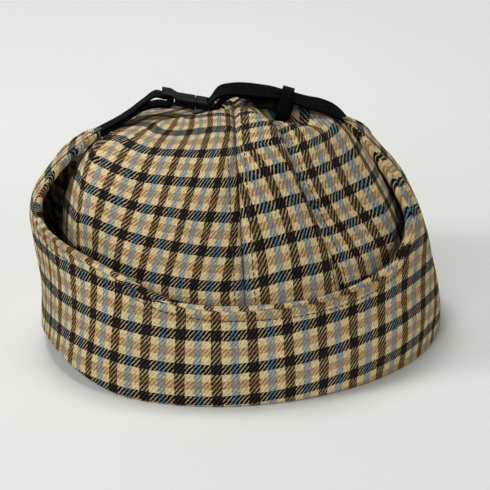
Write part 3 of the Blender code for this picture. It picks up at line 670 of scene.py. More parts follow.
def wool_check(settings, name, twill, shade=1.0):
    """Check woven in twill: the warp's stripes and the weft's stripes show in turn on steep diagonals.

    The diagonals lean more towards the top. Painted shade darkens the cloth wherever a dark thread crosses.
    """
    make = Maker(name)
    across, along_up = make.check()
    drift = make.math("MULTIPLY_ADD", make.noise(190.0, 3.0, 0.6), 0.07, -0.035)
    hair = make.noise(750.0, 2.0, 0.6)
    u = make.math("ADD", across, drift)
    v = make.math("ADD", along_up, drift)
    warp = make.stripes(u, [(0.0, settings.brown), (0.148, settings.cream), (0.385, settings.blue),
                            (0.615, settings.cream), (0.852, settings.brown)])
    weft = make.stripes(v, [(0.0, settings.black), (0.158, settings.cream), (0.375, settings.orange),
                            (0.625, settings.cream), (0.842, settings.black)])
    lean = make.math("MULTIPLY", v, make.math("MULTIPLY_ADD", v, -twill[2], twill[1]))
    turns = make.math("SUBTRACT", make.math("MULTIPLY", u, twill[0]), lean)
    turns = make.math("MULTIPLY_ADD", hair, 0.75, turns)
    wave = make.math("PINGPONG", turns, 0.5)
    warp_light = make.node("ShaderNodeRGBToBW", 0, {0: warp})
    weft_light = make.node("ShaderNodeRGBToBW", 0, {0: weft})
    lighter = make.math("SUBTRACT", warp_light, weft_light)
    # Painted shade of the dark yarns: the colour is darker wherever either crossing thread is dark
    painted_yarn_shade = make.math("MULTIPLY_ADD", make.math("MINIMUM", warp_light, weft_light), 0.95, 0.68)
    # The twill picks which thread shows; its lean to the darker thread is painted shade of the dark yarns
    over = make.math("MULTIPLY_ADD", wave, 9.0, make.math("MULTIPLY_ADD", lighter, 2.0, -1.75), clamp=True)
    fleck = make.math("MULTIPLY_ADD", hair, 1.2, 0.43)
    patch = make.math("MULTIPLY_ADD", make.noise(26.0, 3.0), 0.28, 0.86)
    # Height of the twill's relief: the bump's relief, and in the colour painted shade in its grooves
    ridge_and_groove_shade = make.math("MULTIPLY_ADD", make.math("PINGPONG", make.math("ADD", turns, 0.25), 0.5), 0.9, 0.76)
    # The shade factor is painted shade: below one on the band's inner cloth, by its crevice at the crown
    light = make.math("MULTIPLY", make.math("MULTIPLY", fleck, patch), make.math("MULTIPLY", ridge_and_groove_shade, shade))
    light = make.math("MULTIPLY", light, painted_yarn_shade)
    grey = make.node("ShaderNodeCombineXYZ", 0, {0: light, 1: light, 2: light})
    make.bump(make.math("ADD", ridge_and_groove_shade, make.math("MULTIPLY", hair, 0.4)), settings.nap)
    return make.done(Base_Color=make.mix(1.0, make.mix(over, warp, weft), grey, "MULTIPLY"), Roughness=0.95,
                     Specular_IOR_Level=0.05, Sheen_Weight=0.015, Sheen_Roughness=0.5)


def lining_cloth(settings):
    """Plain dark lining with a fine weave from distorted sine waves."""
    make = Maker("lining_brown")
    weave = make.node("ShaderNodeTexWave", 1, {"Vector": make.place, "Scale": 420.0, "Distortion": 1.2})
    make.bump(weave, 0.2 * MM)
    colour = make.mix(make.noise(30.0, 3.0), toned(settings.lining, 0.8), toned(settings.lining))
    return make.done(Base_Color=colour, Roughness=0.8)


def webbing_cloth(settings):
    """Black webbing: ribs across it and fine warp lines along it, lighter where its relief is high."""
    make = Maker("webbing_black_weave")
    across, along_it = make.check()
    rib = make.math("PINGPONG", make.math("MULTIPLY", along_it, 1.0 / settings.rib), 0.5)
    cord = make.math("PINGPONG", make.math("MULTIPLY", across, 11.0), 0.5)
    lint = make.noise(900.0, 3.0, 0.7)
    height = make.math("ADD", make.math("MULTIPLY", rib, 1.2), make.math("MULTIPLY", cord, 0.9))
    height = make.math("ADD", height, make.math("MULTIPLY", lint, 0.5))
    # Lighter on the high points of the relief and darker in its hollows
    high_points = make.math("MULTIPLY_ADD", height, 0.55, -0.2, clamp=True)
    make.bump(height, 0.25 * MM)
    colour = make.mix(high_points, toned(settings.webbing, 0.5), toned(settings.webbing, 1.8))
    rough = make.math("MULTIPLY_ADD", lint, 0.2, 0.62)
    return make.done(Base_Color=colour, Roughness=rough, Specular_IOR_Level=0.025)


def moulded_plastic(settings):
    """Black moulded plastic: a faint pitted skin, with uneven gloss."""
    make = Maker("plastic_black_moulded")
    rub = make.noise(120.0, 4.0, 0.6)
    make.bump(make.noise(1400.0), 0.03 * MM)
    colour = make.mix(rub, toned(settings.plastic), toned(settings.plastic, 2.2))
    rough = make.math("MULTIPLY_ADD", rub, 0.3, 0.46)
    return make.done(Base_Color=colour, Roughness=rough, Specular_IOR_Level=0.045)


def sewing_thread(settings):
    """Twisted thread: slanted plies on the object's own axes, a little lighter on their crowns."""
    make = Maker("thread_tan")
    ply = make.node("ShaderNodeTexWave", 1, {"Vector": make.place, "Scale": 700.0, "Distortion": 2.0},
                    bands_direction="DIAGONAL")
    make.bump(ply, 0.1 * MM)
    colour = make.mix(ply, toned(settings.thread, 0.6), toned(settings.thread))
    return make.done(Base_Color=colour, Roughness=0.7)


# Settings

class ClothSettings(bpy.types.PropertyGroup):
    """Colours and grain of the wool, lining and thread."""

    cream: FloatVectorProperty(name="Cream", description="Ground of the check", subtype="COLOR",
                               default=(0.545, 0.418, 0.222))
    brown: FloatVectorProperty(name="Dark brown", description="Dark warp stripe", subtype="COLOR",
                               default=(0.036, 0.024, 0.018))
    black: FloatVectorProperty(name="Black", description="Dark weft stripe", subtype="COLOR",
                               default=(0.005, 0.0055, 0.008))
    blue: FloatVectorProperty(name="Blue", description="Light blue warp stripe", subtype="COLOR",
                              default=(0.155, 0.24, 0.30))
    orange: FloatVectorProperty(name="Orange brown", description="Warm weft stripe", subtype="COLOR",
                                default=(0.36, 0.212, 0.082))
    lining: FloatVectorProperty(name="Lining", description="Plain lining of the crown", subtype="COLOR",
                                default=(0.10, 0.07, 0.045))
    thread: FloatVectorProperty(name="Thread", description="Sewing thread", subtype="COLOR",
                                default=(0.05, 0.035, 0.02))
    # Painted shade: darkens the band's inner cloth, which faces the crown across a narrow crevice
    painted_inner_shade: FloatProperty(name="Inner shade", description="Brightness of the band's inner cloth",
                               default=0.35, subtype="FACTOR")
    crown_twill: FloatVectorProperty(name="Crown twill", subtype="XYZ", default=(7.6, 6.4, 0.32),
                                     description="Diagonals per repeat across and up, and loss up a row")
    band_twill: FloatVectorProperty(name="Band twill", subtype="XYZ", default=(8.2, 6.4, 0.0),
                                    description="Diagonals per repeat across and up, and loss up a row")
    nap: FloatProperty(name="Nap", description="Height of the weave's relief", default=0.0004,
                       unit="LENGTH", precision=5)
    stitch_pitch: FloatProperty(name="Stitch pitch", description="From one stitch to the next",
                                default=0.0030, unit="LENGTH", precision=4)


class StrapSettings(bpy.types.PropertyGroup):
    """Colours and grain of the webbing and the buckle."""

    webbing: FloatVectorProperty(name="Webbing", description="Colour of the webbing", subtype="COLOR",
                                 default=(0.0022, 0.0022, 0.0025))
    plastic: FloatVectorProperty(name="Plastic", description="Colour of the buckle", subtype="COLOR",
                                 default=(0.0016, 0.0016, 0.0018))
    rib: FloatProperty(name="Rib", description="Distance between the webbing's ribs", default=0.0012,
                       unit="LENGTH", precision=4)
    bevel: FloatProperty(name="Bevel", description="Rounding of the buckle's edges", default=0.0003,
                         unit="LENGTH", precision=4)


class StageSettings(bpy.types.PropertyGroup):
    """Camera and lights."""

    distance: FloatProperty(name="Distance", description="From the origin to the camera", default=1.0,
                            unit="LENGTH")
    elevation: FloatProperty(name="Elevation", description="Camera above the floor",
                             default=math.radians(21.5), subtype="ANGLE")
    roll: FloatProperty(name="Roll", description="Clockwise roll of the camera", default=math.radians(3.3),
                        subtype="ANGLE")
    lens: FloatProperty(name="Lens", description="Focal length on a sensor 36 mm wide", default=144.0,
                        unit="CAMERA")
    light: FloatProperty(name="Light", description="Share of the lights' full power", default=1.0,
                         subtype="FACTOR")
    floor: FloatVectorProperty(name="Floor", description="Colour of the floor", subtype="COLOR",
                               default=(0.77, 0.77, 0.74))


# Cloth pieces

def panel_lay(number, outside):
    """Check coordinates of a panel: distance across from its seam and length up from its rim, laid out."""
    across = np.cumsum(np.linalg.norm(np.diff(outside, axis=1), axis=-1), axis=1)
    across = np.concatenate([np.zeros((len(outside), 1)), across], axis=1)
    lay, side = PANEL_LAYS[number]
    if side == "last":
        across = across - across[:, -1:]
    if number == REAR_PANEL:
        front_panel = panel_grid(REAR_PANEL + 1, 60, len(outside), CROWN_TOP)
        across = across - np.linalg.norm(np.diff(front_panel, axis=1), axis=-1).sum(axis=1, keepdims=True)
    steps = np.linalg.norm(np.diff(outside, axis=0), axis=-1)
    up = np.concatenate([np.cumsum(steps[::-1], axis=0)[::-1], np.zeros((1, outside.shape[1]))])
    s, h = across / COLUMN_PITCH, up / ROW_PITCH
    spread = lay_out(lay, s, h)
    if number == REAR_PANEL:
        rear = np.clip((REAR_FADE[0] - s) / (REAR_FADE[0] - REAR_FADE[1]), 0.0, 1.0)[..., None]
        rear = rear ** 2 * (3 - 2 * rear)
        spread = spread + (lay_out(REAR_LAY, s, h) - spread) * rear
    return spread


class EARFLAP_OT_crown(bpy.types.Operator):
    """Six crown panels of checked wool over a plain lining"""

    bl_idname = "earflap.crown"
    bl_label = "Crown Panels"

    def execute(self, context):
        settings = context.scene.cap_cloth
        wool = wool_check(settings, "wool_check_crown", settings.crown_twill)
        lining = lining_cloth(settings)
        for number in range(len(CROWN_SEAMS)):
            start, end = panel_seams(number)
            columns = 8 + int((end[-1] - start[-1]) / 1.2)
            outside = panel_grid(number, columns, 96, CROWN_TOP)

            # The lining lies straight in from the wool, turning from level at the wall to down at the top
            ray = (outside - (CROWN_SHIFT, 0.0, 0.0)) * (1.0, 1.0, 0.0)
            reach = np.linalg.norm(ray, axis=-1, keepdims=True)
            lean = np.sum(grid_normals(outside) * ray / reach, axis=-1, keepdims=True)
            lean = lean * np.clip((reach - 2 * CROWN_THICKNESS) / (8 * CROWN_THICKNESS), 0.0, 1.0)
            inward = ray / reach * lean + np.sqrt(1 - lean ** 2) * (0.0, 0.0, 1.0)
            inside = outside - inward * CROWN_THICKNESS
            inside[-1, :, 2] = outside[-1, :, 2]
            rings = np.concatenate([outside, inside[:, ::-1]], axis=1)
            lay = panel_lay(number, outside)
            lay = np.concatenate([lay, lay[:, ::-1], lay[:, :1]], axis=1)
            slots = np.concatenate([np.zeros(columns - 1, int), np.ones(columns + 1, int)])
            name = f"crown_panel_{number + 1}"
            item = loft(f"{name}_wool", rings, [wool, lining], lay, slots)
            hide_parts(name)
        return {"FINISHED"}


def band_profile(bearing):
    """Section of the band at each bearing, and the length of the cloth at each of its corners.

    The section runs up the outside wall, round a rolled lip, down the inside wall and round the foot.
    """
    edge = band_edge(bearing)[:, None]
    base = rim_lift(bearing)[:, None]
    turn = bearing[:, None]
    start = base + WALL_START
    risen = np.clip((edge - BAND_HEIGHT) / (0.5 * BAND_HEIGHT), 0.0, 1.0)
    thickness = BAND_THICKNESS + (FLAP_THICKNESS - BAND_THICKNESS) * risen
    half = thickness / 2
    top = edge - half

    wall = np.concatenate([start + (top - SEWN_EDGE - start) * np.linspace(0.0, 1.0, 30)[None],
                           top - SEWN_EDGE * np.linspace(1.0, 0.0, 27)[None, 1:]], axis=1)
    roll = np.radians(np.linspace(0.0, 180.0, 13))[None, 1:-1]
    share = np.linspace(1.0, 0.25, 26)[None]
    back = start + (top - start) * share
    length = np.concatenate([wall, top + half * np.sin(roll), back], axis=1)
    depth = np.concatenate([0 * wall, half * (1 - np.cos(roll)),
                            thickness + (BAND_THICKNESS - thickness) * (1 - share) ** 2], axis=1)
    relief = sum(rise * bell(edge - length - place, width) for place, width, rise in BAND_RELIEF)
    points = band_point(turn, length, depth - np.where(depth < 0.5 * MM, relief, 0.0))
    points = points + band_normal(turn, length) * band_waves(turn, length)[..., None]

    outer = band_surface(turn, start)[:, 0]
    inwards = unit((band_point(turn, start, np.full_like(start, MM))[:, 0] - outer) * (1.0, 1.0, 0.0))

    def corner(depth, height):
        spot = outer + inwards * depth
        spot[:, 2] = base[:, 0] + height
        return spot[:, None]

    foot = BAND_THICKNESS + 2 * CLEARANCE + CROWN_THICKNESS
    level = FOOT_HEIGHT - 2 * CLEARANCE
    before = [(0.75 * FOLD_RADIUS, 0.12 * FOLD_RADIUS), (0.3 * FOLD_RADIUS, 0.45 * FOLD_RADIUS),
              (0.07 * FOLD_RADIUS, 0.9 * FOLD_RADIUS)]
    after = [(BAND_THICKNESS, level), (foot - 0.2 * MM, level), (foot, level - 0.2 * MM),
             (foot + 0.3 * FOLD_RADIUS, 0.3 * FOOT_HEIGHT), (foot, 0.5 * MM), (foot - 0.5 * FOLD_RADIUS, 0.0),
             (1.2 * FOLD_RADIUS, 0.0)]
    rings = np.concatenate([*(corner(*place) for place in before), points,
                            *(corner(*place) for place in after)], axis=1)
    low = start - np.array([[2.4, 1.6, 0.8]]) * FOLD_RADIUS
    down = 2 * top + np.pi * half - back
    last = down[:, -1:] + np.array([[3, 6, 7, 11, 15, 17, 24]]) * MM
    cloth = np.concatenate([low, wall, top + half * roll, down, last, low[:, :1]], axis=1)
    return rings, cloth


class EARFLAP_OT_band(bpy.types.Operator):
    """Turned-up band with its two earflaps, rolled along its top edge"""

    bl_idname = "earflap.band"
    bl_label = "Band And Earflaps"

    def execute(self, context):
        settings = context.scene.cap_cloth
        wool = wool_check(settings, "wool_check_band", settings.band_twill)
        # The band's inner cloth is the same wool darkened by painted shade, for its crevice at the crown
        inner = wool_check(settings, "wool_check_inner_painted_shade", settings.band_twill, settings.painted_inner_shade)
        bearing = np.arange(-180.0, 180.0, 0.75)
        rings, cloth = band_profile(bearing)
        cloth = np.concatenate([cloth, cloth[:1]])
        turn = round_distance(np.append(bearing, 180.0))[:, None] / COLUMN_PITCH
        lay = lay_out(BAND_LAY, turn, cloth / ROW_PITCH)
        edge = band_edge(np.append(bearing, 180.0))[:, None]
        lay += np.where(cloth > edge - FACING_LINE, 1.0, 0.0)[..., None] * FACING_SHIFT
        slots = (np.arange(rings.shape[1]) > INNER_WALL).astype(int)
        item = loft("flap_band_wool", rings, [wool, inner], lay, slots, closed=True, crease=70.0)
        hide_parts("flap_band")
        return {"FINISHED"}


# Strap and buckle

def buckle_frame():
    """Places the buckle: its length runs along its own X, its width along Y and its top face is Z = 0."""
    place = Matrix.Translation((BUCKLE_PLACE * BAND_HALF_WIDTH, -CLEARANCE, CROWN_HEIGHT + BUCKLE_RISE))
    slope = Matrix.Rotation(math.radians(-BUCKLE_SLOPE), 4, "Y")
    roll = Matrix.Rotation(math.radians(BUCKLE_ROLL), 4, "X")
    return place @ slope @ roll


def turn_round(bar, start, end):
    """Places of webbing round a bar: an arc in the plane of the buckle's length and height."""
    angles = np.radians(np.linspace(start, end, 2 + int(abs(end - start) / 28)))
    ring = np.stack([bar[0] + LOOP_RADIUS * np.cos(angles), 0 * angles,
                     bar[1] + LOOP_RADIUS * np.sin(angles)], axis=1)
    turned = np.array(buckle_frame())
    return ring @ turned[:3, :3].T + turned[:3, 3], np.tile(turned[:3, 1], (len(ring), 1))


def flap_tip(bearing, flap_length, drop):
    """Where webbing leaves the end of a flap, between its two cloths."""
    depth = FLAP_THICKNESS * (0.5 + drop)
    tip = band_point(np.float64(bearing), np.float64(flap_length), depth)
    back = band_point(np.float64(bearing), np.float64(flap_length - 4 * MM), depth)
    return tip + (back - tip) * 1.2


def tilted(twists):
    """Directions across webbing that runs along X: level, or with the far edge raised by a twist."""
    turn = np.radians(twists)
    return np.stack([0 * turn, np.cos(turn), np.sin(turn)], axis=1)


def between(first, last, table):
    """Places between two ends by a table of way, rise, across and twist, and their across directions."""
    rows = np.asarray(table, float)
    places = first + (last - first) * rows[:, :1]
    places[:, 2] += rows[:, 1] * WEBBING_WIDTH
    places[:, 1] += rows[:, 2] * WEBBING_WIDTH
    return places, tilted(rows[:, 3])


def sections(places, across):
    """Directions of the webbing's sections: across it and square to its face, one pair for each place."""
    steps = unit(np.diff(places, axis=0))
    tangent = unit(np.concatenate([steps[:1], steps[:-1] + steps[1:], steps[-1:]]))
    across = unit(across - tangent * np.sum(across * tangent, axis=1, keepdims=True))
    return across, np.cross(tangent, across)


def finer(places, across, step):
    """Evenly spaced places on a cubic through the given ones, with their across directions."""
    at = run_along(places)
    even = np.linspace(0.0, at[-1], int(at[-1] / step))
    table = np.column_stack([at, places, across])
    read = np.stack([smooth(table, column, even) for column in range(1, 7)], axis=1)
    return read[:, :3], read[:, 3:], even


def webbing(name, places, across, lifts, material):
    """Webbing along a path: a flat section with round selvedges, carried along the path, which is lifted."""
    places = places + np.array([0.0, 0.0, 1.0]) * lifts[:, None]
    places, across, run = finer(places, across, 0.5 * MM)
    across, normal = sections(places, across)
    face = 0.93
    flat = np.linspace(-face, face, 15)
    selvedge = np.radians(np.linspace(70.0, -70.0, 5))
    bulge = face + (1 - face) * np.cos(selvedge)
    wide = np.concatenate([flat, bulge, flat[::-1], -bulge])
    high = np.concatenate([1 + 0 * flat, np.sin(selvedge), -1 + 0 * flat, -np.sin(selvedge)])
    rings = (places[:, None] + across[:, None] * (0.5 * WEBBING_WIDTH * wide)[:, None]
             + normal[:, None] * (0.46 * WEBBING_THICKNESS * high)[:, None])
    wide = np.append(wide, wide[0])
    lay = np.stack(np.broadcast_arrays(0.5 + 0.5 * wide[None], run[:, None]), axis=-1)
    return loft(name, rings, [material], lay, crease=60.0), places, across, normal


def crown_cover():
    """Points and normals of the whole crown, for laying the straps over it."""
    covers = []
    for number in range(len(CROWN_SEAMS)):
        outside = panel_grid(number, 24, 40, 0.02)
        covers.append((outside.reshape(-1, 3), grid_normals(outside).reshape(-1, 3)))
    return tuple(np.concatenate(part) for part in zip(*covers))


def lifts_over(places, across, crown, gaps):
    """How far each section rises so that its edges and middle lie at least a gap above the crown."""
    points, normals = crown
    across, normal = sections(places, across)
    share = np.array([-1.0, -0.5, 0.0, 0.5, 1.0]) * WEBBING_WIDTH / 2
    spots = places[:, None] + across[:, None] * share[:, None] - normal[:, None] * (WEBBING_THICKNESS / 2)
    flat = spots.reshape(-1, 3)
    apart = np.linalg.norm(flat[:, None] - points[None], axis=2)
    nearest = apart.argmin(axis=1)
    height = np.sum((flat - points[nearest]) * normals[nearest], axis=1)
    lack = np.repeat(gaps, len(share)) - height
    lift = np.maximum(lack, 0.0) / np.maximum(normals[nearest, 2], 0.4)
    return np.where(apart.min(axis=1) < WEBBING_WIDTH, lift, 0.0).reshape(len(places), -1).max(axis=1)


def keeper_loop(places, across, normal, material):
    """Closed narrow band round both layers: the support of their sections, pushed out by its thickness."""
    middle = KEEPER_PLACE * BAND_HALF_WIDTH
    second_half = np.arange(len(places)) >= len(places) // 2
    upper = np.argmin(np.abs(places[:, 0] - middle) + second_half)
    run = unit(places[upper - 4] - places[upper + 4])
    centre = np.array([middle, 0.0, places[upper, 2]])
    level = unit(np.array([0.0, 1.0, 0.0]) - run * run[1])
    up = np.cross(run, level)
    corners = np.array([(-1, 1), (-1, -1), (1, 1), (1, -1)]) * (WEBBING_WIDTH / 2, WEBBING_THICKNESS / 2)
    spots = places[:, None] + across[:, None] * corners[:, :1] + normal[:, None] * corners[:, 1:] - centre
    spots = spots.reshape(-1, 3)
    spots = spots[np.abs(spots @ run) < 0.75 * KEEPER_WIDTH]
    angles = np.radians(np.arange(0.0, 360.0, 5.0))
    facing = np.stack([np.cos(angles), np.sin(angles)], 1)
    flat = np.stack([spots @ level, spots @ up], 1)
    support = (flat @ facing.T).max(axis=0)
    side = np.stack([-facing[:, 1], facing[:, 0]], 1)
    step = angles[1]

    def ring(depth, way):
        reach = support + depth
        slide = (np.roll(reach, -1) - reach * math.cos(step)) / math.sin(step)
        spot = facing * reach[:, None] + side * slide[:, None]
        return centre + spot[:, :1] * level + spot[:, 1:] * up + run * (way * KEEPER_WIDTH / 2)

    inner, outer = CLEARANCE, CLEARANCE + WEBBING_THICKNESS
    profile = [(inner, -0.9), (inner, 0.0), (inner, 0.9), (inner + 0.3 * MM, 1.0), (outer - 0.3 * MM, 1.0),
               (outer, 0.9), (outer, 0.45), (outer, 0.0), (outer, -0.45), (outer, -0.9),
               (outer - 0.3 * MM, -1.0), (inner + 0.3 * MM, -1.0)]
    rings = np.stack([ring(depth, way) for depth, way in profile], axis=1)
    ways = np.array([0.5 + 0.5 * way for _, way in profile + profile[:1]]) * KEEPER_WIDTH / WEBBING_WIDTH
    length = np.append(run_along(rings[:, 7]), 0.06)
    lay = np.stack(np.broadcast_arrays(ways[None], length[:, None]), axis=-1)
    return loft("keeper_webbing", rings, [material], lay, closed=True, crease=60.0)


class EARFLAP_OT_straps(bpy.types.Operator):
    """Webbing from each earflap over its half of the buckle and back under itself, with the keeper"""

    bl_idname = "earflap.straps"
    bl_label = "Straps And Keeper"

    def execute(self, context):
        cloth = webbing_cloth(context.scene.cap_strap)
        crown = crown_cover()

        bar = (LOOP_REACH + 2 * CLEARANCE, HOOD_RISE - HOOD_THICKNESS - LOOP_REACH)
        loop, loop_across = turn_round(bar, 125.0, -75.0)
        upper = flap_tip(270.0, FLAP_LENGTH_LEFT, -0.12)
        lower = flap_tip(270.0, FLAP_LENGTH_LEFT, 0.26)
        out, out_across = between(upper, loop[0], LEFT_UPPER)
        back, back_across = between(lower, loop[-1], LEFT_LOWER)
        places = np.concatenate([[upper], out, loop, back[::-1], [lower]])
        across = np.concatenate([tilted([0.0]), out_across, loop_across, back_across[::-1], tilted([0.0])])
        lifts = lifts_over(places, across, crown, np.full(len(places), 2 * CLEARANCE))
        left = webbing("strap_left_webbing", places, across, lifts, cloth)[0]
        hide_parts("strap_left")

        bar = (SOCKET_LENGTH + CLEARANCE + PLUG_LENGTH + LOOP_REACH, -0.4 * PLUG_HEIGHT)
        loop, loop_across = turn_round(bar, 130.0, 320.0)
        start = flap_tip(90.0, FLAP_LENGTH_RIGHT, 0.0)
        out, out_across = between(start, loop[0], RIGHT_UPPER)
        tail = np.asarray(RIGHT_TAIL, float)
        end = KEEPER_PLACE * BAND_HALF_WIDTH + 0.4 * KEEPER_WIDTH
        along_x = loop[-1, 0] + (end - loop[-1, 0]) * tail[:, 0]
        back = np.stack([np.interp(along_x, out[::-1, 0], out[::-1, axis]) for axis in range(3)], axis=1)
        back[:, 1] += tail[:, 2] * WEBBING_WIDTH
        back[:, 2] -= tail[:, 1] * WEBBING_THICKNESS
        places = np.concatenate([[start], out, loop, back])
        across = np.concatenate([tilted([0.0]), out_across, loop_across, tilted(tail[:, 3])])
        in_keeper = np.abs(places[:, 0] - KEEPER_PLACE * BAND_HALF_WIDTH) < 1.5 * KEEPER_WIDTH
        gaps = 2 * CLEARANCE + in_keeper * (WEBBING_THICKNESS + CLEARANCE)
        lifts = lifts_over(places, across, crown, gaps)
        right, places, across, normal = webbing("strap_right_webbing", places, across, lifts, cloth)
        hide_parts("strap_right")

        loop = keeper_loop(places, across, normal, cloth)
        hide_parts("keeper")
        return {"FINISHED"}


class EARFLAP_OT_buckle(bpy.types.Operator):
    """Both halves of the side release buckle with rounded edges"""

    bl_idname = "earflap.buckle"
    bl_label = "Buckle"

    def execute(self, context):
        settings = context.scene.cap_strap
        plastic = moulded_plastic(settings)
        for name in ("buckle_socket", "buckle_plug"):
            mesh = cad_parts[name].data.copy()
            mesh.name = f"{name}_moulded"
            work = bmesh.new()
            work.from_mesh(mesh)
            bmesh.ops.remove_doubles(work, verts=work.verts, dist=0.01 * MM)
            bmesh.ops.dissolve_limit(work, angle_limit=math.radians(2.0), verts=work.verts,
                                     edges=work.edges)
            bmesh.ops.recalc_face_normals(work, faces=work.faces)
            work.to_mesh(mesh)
            work.free()
            mesh.materials.clear()
            mesh.materials.append(plastic)
            item = bpy.data.objects.new(mesh.name, mesh)
            context.scene.collection.objects.link(item)
            rounding = item.modifiers.new("rounding", "BEVEL")
            rounding.width = settings.bevel
            rounding.segments = 3
            rounding.limit_method = "ANGLE"
            rounding.angle_limit = math.radians(30.0)
            rounding.harden_normals = True
            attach(item, "root")
            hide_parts(name)
        return {"FINISHED"}


# Stitching

def stitches(name, path, normals, pitch, material):
    """Sewn line: a small round-ended thread repeated along a path by broadcasting, sunk half into the cloth.

    Each stitch has six rings of six corners, and arches over its length by a parabola.
    """
    at = run_along(path)
    even = np.arange(0.5 * pitch, at[-1] - 0.5 * pitch, pitch)

    def read(rows, run):
        return np.stack([np.interp(run, at, column) for column in rows.T], axis=1)

    spot = read(path, even)
    run = unit(read(path, even + 0.2 * pitch) - spot)
    side = unit(np.cross(read(normals, even), run))
    up = np.cross(run, side)
    stations = np.array([[-1.0], [-0.8], [-0.4], [0.4], [0.8], [1.0]])
    girth = THREAD_RADIUS * np.array([[0.25], [0.75], [1.0], [1.0], [0.75], [0.25]])
    angles = np.radians(np.arange(0.0, 360.0, 60.0))
    arch = 0.02 * MM + 0.16 * MM * (1 - stations ** 2)
    local = np.stack([stations * 0.38 * pitch + 0 * angles, girth * np.cos(angles),
                      girth * np.sin(angles) + arch], axis=-1).reshape(-1, 3)
    points = (spot[:, None] + run[:, None] * local[:, :1] + side[:, None] * local[:, 1:2]
              + up[:, None] * local[:, 2:])
    i, j = np.arange(5)[:, None], np.arange(6)[None]
    k = (j + 1) % 6
    tube = np.stack([i * 6 + j, i * 6 + k, (i + 1) * 6 + k, (i + 1) * 6 + j], axis=-1).reshape(-1, 4)
    caps = np.array([[3, 2, 1, 0], [5, 4, 3, 0], [30, 31, 32, 33], [30, 33, 34, 35]])
    faces = np.concatenate([tube, caps])[None] + (np.arange(len(spot)) * 36)[:, None, None]
    return make_piece(name, points.reshape(-1, 3), faces.reshape(-1, 4), [material], crease=80.0)


def seam_path(number, edge, offset):
    """Places and normals on a panel at a distance from one of its seams, where the panel is wide enough."""
    outside = panel_grid(number, 90, 240, 0.08, 0.99)
    facing = grid_normals(outside)
    if edge:
        outside, facing = outside[:, ::-1], facing[:, ::-1]
    reach = np.cumsum(np.linalg.norm(np.diff(outside, axis=1), axis=-1), axis=1)
    column = np.minimum((reach < offset).sum(axis=1), reach.shape[1] - 1)
    rows = np.arange(len(outside))
    before = np.where(column > 0, reach[rows, column - 1], 0.0)
    share = ((offset - before) / (reach[rows, column] - before))[:, None]
    path = outside[rows, column] * (1 - share) + outside[rows, column + 1] * share
    clear = reach[:, -1] > 2.2 * offset
    return path[clear], facing[rows, column][clear]


class EARFLAP_OT_stitching(bpy.types.Operator):
    """Sewn lines along the band's edge and beside the crown's seams"""

    bl_idname = "earflap.stitching"
    bl_label = "Stitching"

    def execute(self, context):
        settings = context.scene.cap_cloth
        thread = sewing_thread(settings)
        bearing = np.linspace(-180.0, 180.0, 1441)
        length = band_edge(bearing) - STITCH_LINE
        normals = band_normal(bearing, length)
        path = band_surface(bearing, length) + normals * (band_waves(bearing, length) - 0.5 * MM)[:, None]
        item = stitches("band_stitching", path, normals, settings.stitch_pitch, thread)
        for number, edge, offset in CROWN_STITCHING:
            path, normals = seam_path(number, edge, offset)
            name = f"crown_stitching_{number + 1}_{edge + 1}"
            item = stitches(name, path, normals, settings.stitch_pitch, thread)
        return {"FINISHED"}


# Stage

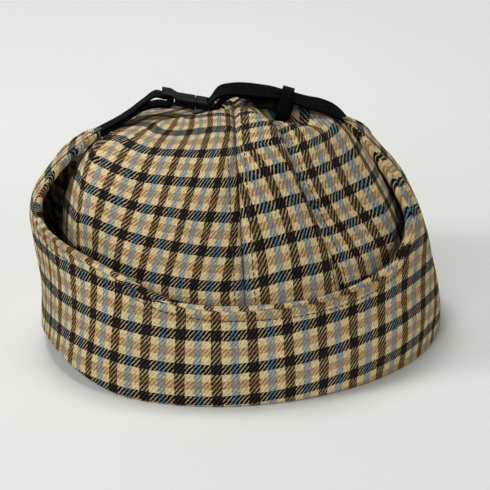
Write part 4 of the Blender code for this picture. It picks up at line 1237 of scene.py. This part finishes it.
class EARFLAP_OT_stage(bpy.types.Operator):
    """Pale floor, soft lights and the camera"""

    bl_idname = "earflap.stage"
    bl_label = "Stage"

    def execute(self, context):
        settings = context.scene.cap_stage
        scene = context.scene

        make = Maker("floor_pale")
        tone = make.math("MULTIPLY_ADD", make.noise(3.0), 0.06, 0.97)
        grey = make.node("ShaderNodeCombineXYZ", 0, {0: tone, 1: tone, 2: tone})
        floor_material = make.done(Base_Color=make.mix(1.0, toned(settings.floor), grey, "MULTIPLY"),
                                   Roughness=0.9)
        turn = np.radians(np.linspace(0.0, 90.0, 17))
        depth = np.concatenate([[-FLOOR_REACH], WALL_PLACE - WALL_CURVE * (1 - np.sin(turn)), [WALL_PLACE]])
        height = np.concatenate([[0.0], WALL_CURVE * (1 - np.cos(turn)), [FLOOR_REACH]])
        x, y = np.meshgrid([-FLOOR_HALF_WIDTH, FLOOR_HALF_WIDTH], depth, indexing="ij")
        z = np.broadcast_to(height, x.shape)
        points = np.stack([x, y, z], -1).reshape(-1, 3)
        mesh = bpy.data.meshes.new("floor")
        row = len(depth)
        mesh.from_pydata(points.tolist(), [], [(i, i + row, i + row + 1, i + 1) for i in range(row - 1)])
        mesh.shade_smooth()
        mesh.materials.append(floor_material)
        floor = bpy.data.objects.new("floor", mesh)
        scene.collection.objects.link(floor)

        world = bpy.data.worlds.new("soft_white")
        world.use_nodes = True
        background = world.node_tree.nodes["Background"]
        background.inputs[0].default_value = WORLD_COLOUR
        background.inputs[1].default_value = WORLD_LIGHT * settings.light
        scene.world = world
        for name, place, target, size, power in LIGHTS:
            lamp = bpy.data.lights.new(name, "AREA")
            lamp.size = size
            lamp.energy = power * settings.light
            item = bpy.data.objects.new(name, lamp)
            item.location = place
            item.rotation_euler = (Vector(target) - Vector(place)).to_track_quat("-Z", "Y").to_euler()
            scene.collection.objects.link(item)

        view = bpy.data.cameras.new("camera")
        view.lens = settings.lens
        view.sensor_width = 36.0
        view.clip_start = 0.05
        camera = bpy.data.objects.new("camera", view)
        scene.collection.objects.link(camera)
        camera.location = (0.0, -settings.distance * math.cos(settings.elevation),
                           settings.distance * math.sin(settings.elevation))
        aim = Vector(CAMERA_AIM) - camera.location
        turned = aim.to_track_quat("-Z", "Y").to_matrix().to_4x4() @ Matrix.Rotation(-settings.roll, 4, "Z")
        camera.rotation_euler = turned.to_euler()
        scene.camera = camera
        scene.view_settings.view_transform = "Standard"
        return {"FINISHED"}


class EARFLAP_PT_cap(bpy.types.Panel):
    """Lists the cap's pieces and their settings"""

    bl_idname = "EARFLAP_PT_cap"
    bl_label = "Earflap Cap"
    bl_space_type = "VIEW_3D"
    bl_region_type = "UI"
    bl_category = "Cap"

    def draw(self, context):
        column = self.layout.column()
        for operator in STEPS:
            column.operator(operator.bl_idname)
        for group in (context.scene.cap_cloth, context.scene.cap_strap, context.scene.cap_stage):
            for name in group.__annotations__:
                column.prop(group, name)


STEPS = (EARFLAP_OT_stage, EARFLAP_OT_crown, EARFLAP_OT_band, EARFLAP_OT_straps, EARFLAP_OT_buckle,
         EARFLAP_OT_stitching)
CLASSES = (ClothSettings, StrapSettings, StageSettings, *STEPS, EARFLAP_PT_cap)


def register():
    for item in CLASSES:
        bpy.utils.register_class(item)
    bpy.types.Scene.cap_cloth = PointerProperty(type=ClothSettings)
    bpy.types.Scene.cap_strap = PointerProperty(type=StrapSettings)
    bpy.types.Scene.cap_stage = PointerProperty(type=StageSettings)


def unregister():
    del bpy.types.Scene.cap_cloth, bpy.types.Scene.cap_strap, bpy.types.Scene.cap_stage
    for item in reversed(CLASSES):
        bpy.utils.unregister_class(item)


def main():
    register()
    bpy.ops.earflap.stage()
    bpy.ops.earflap.crown()
    bpy.ops.earflap.band()
    bpy.ops.earflap.straps()
    bpy.ops.earflap.buckle()
    bpy.ops.earflap.stitching()


if __name__ == "__main__":
    main()
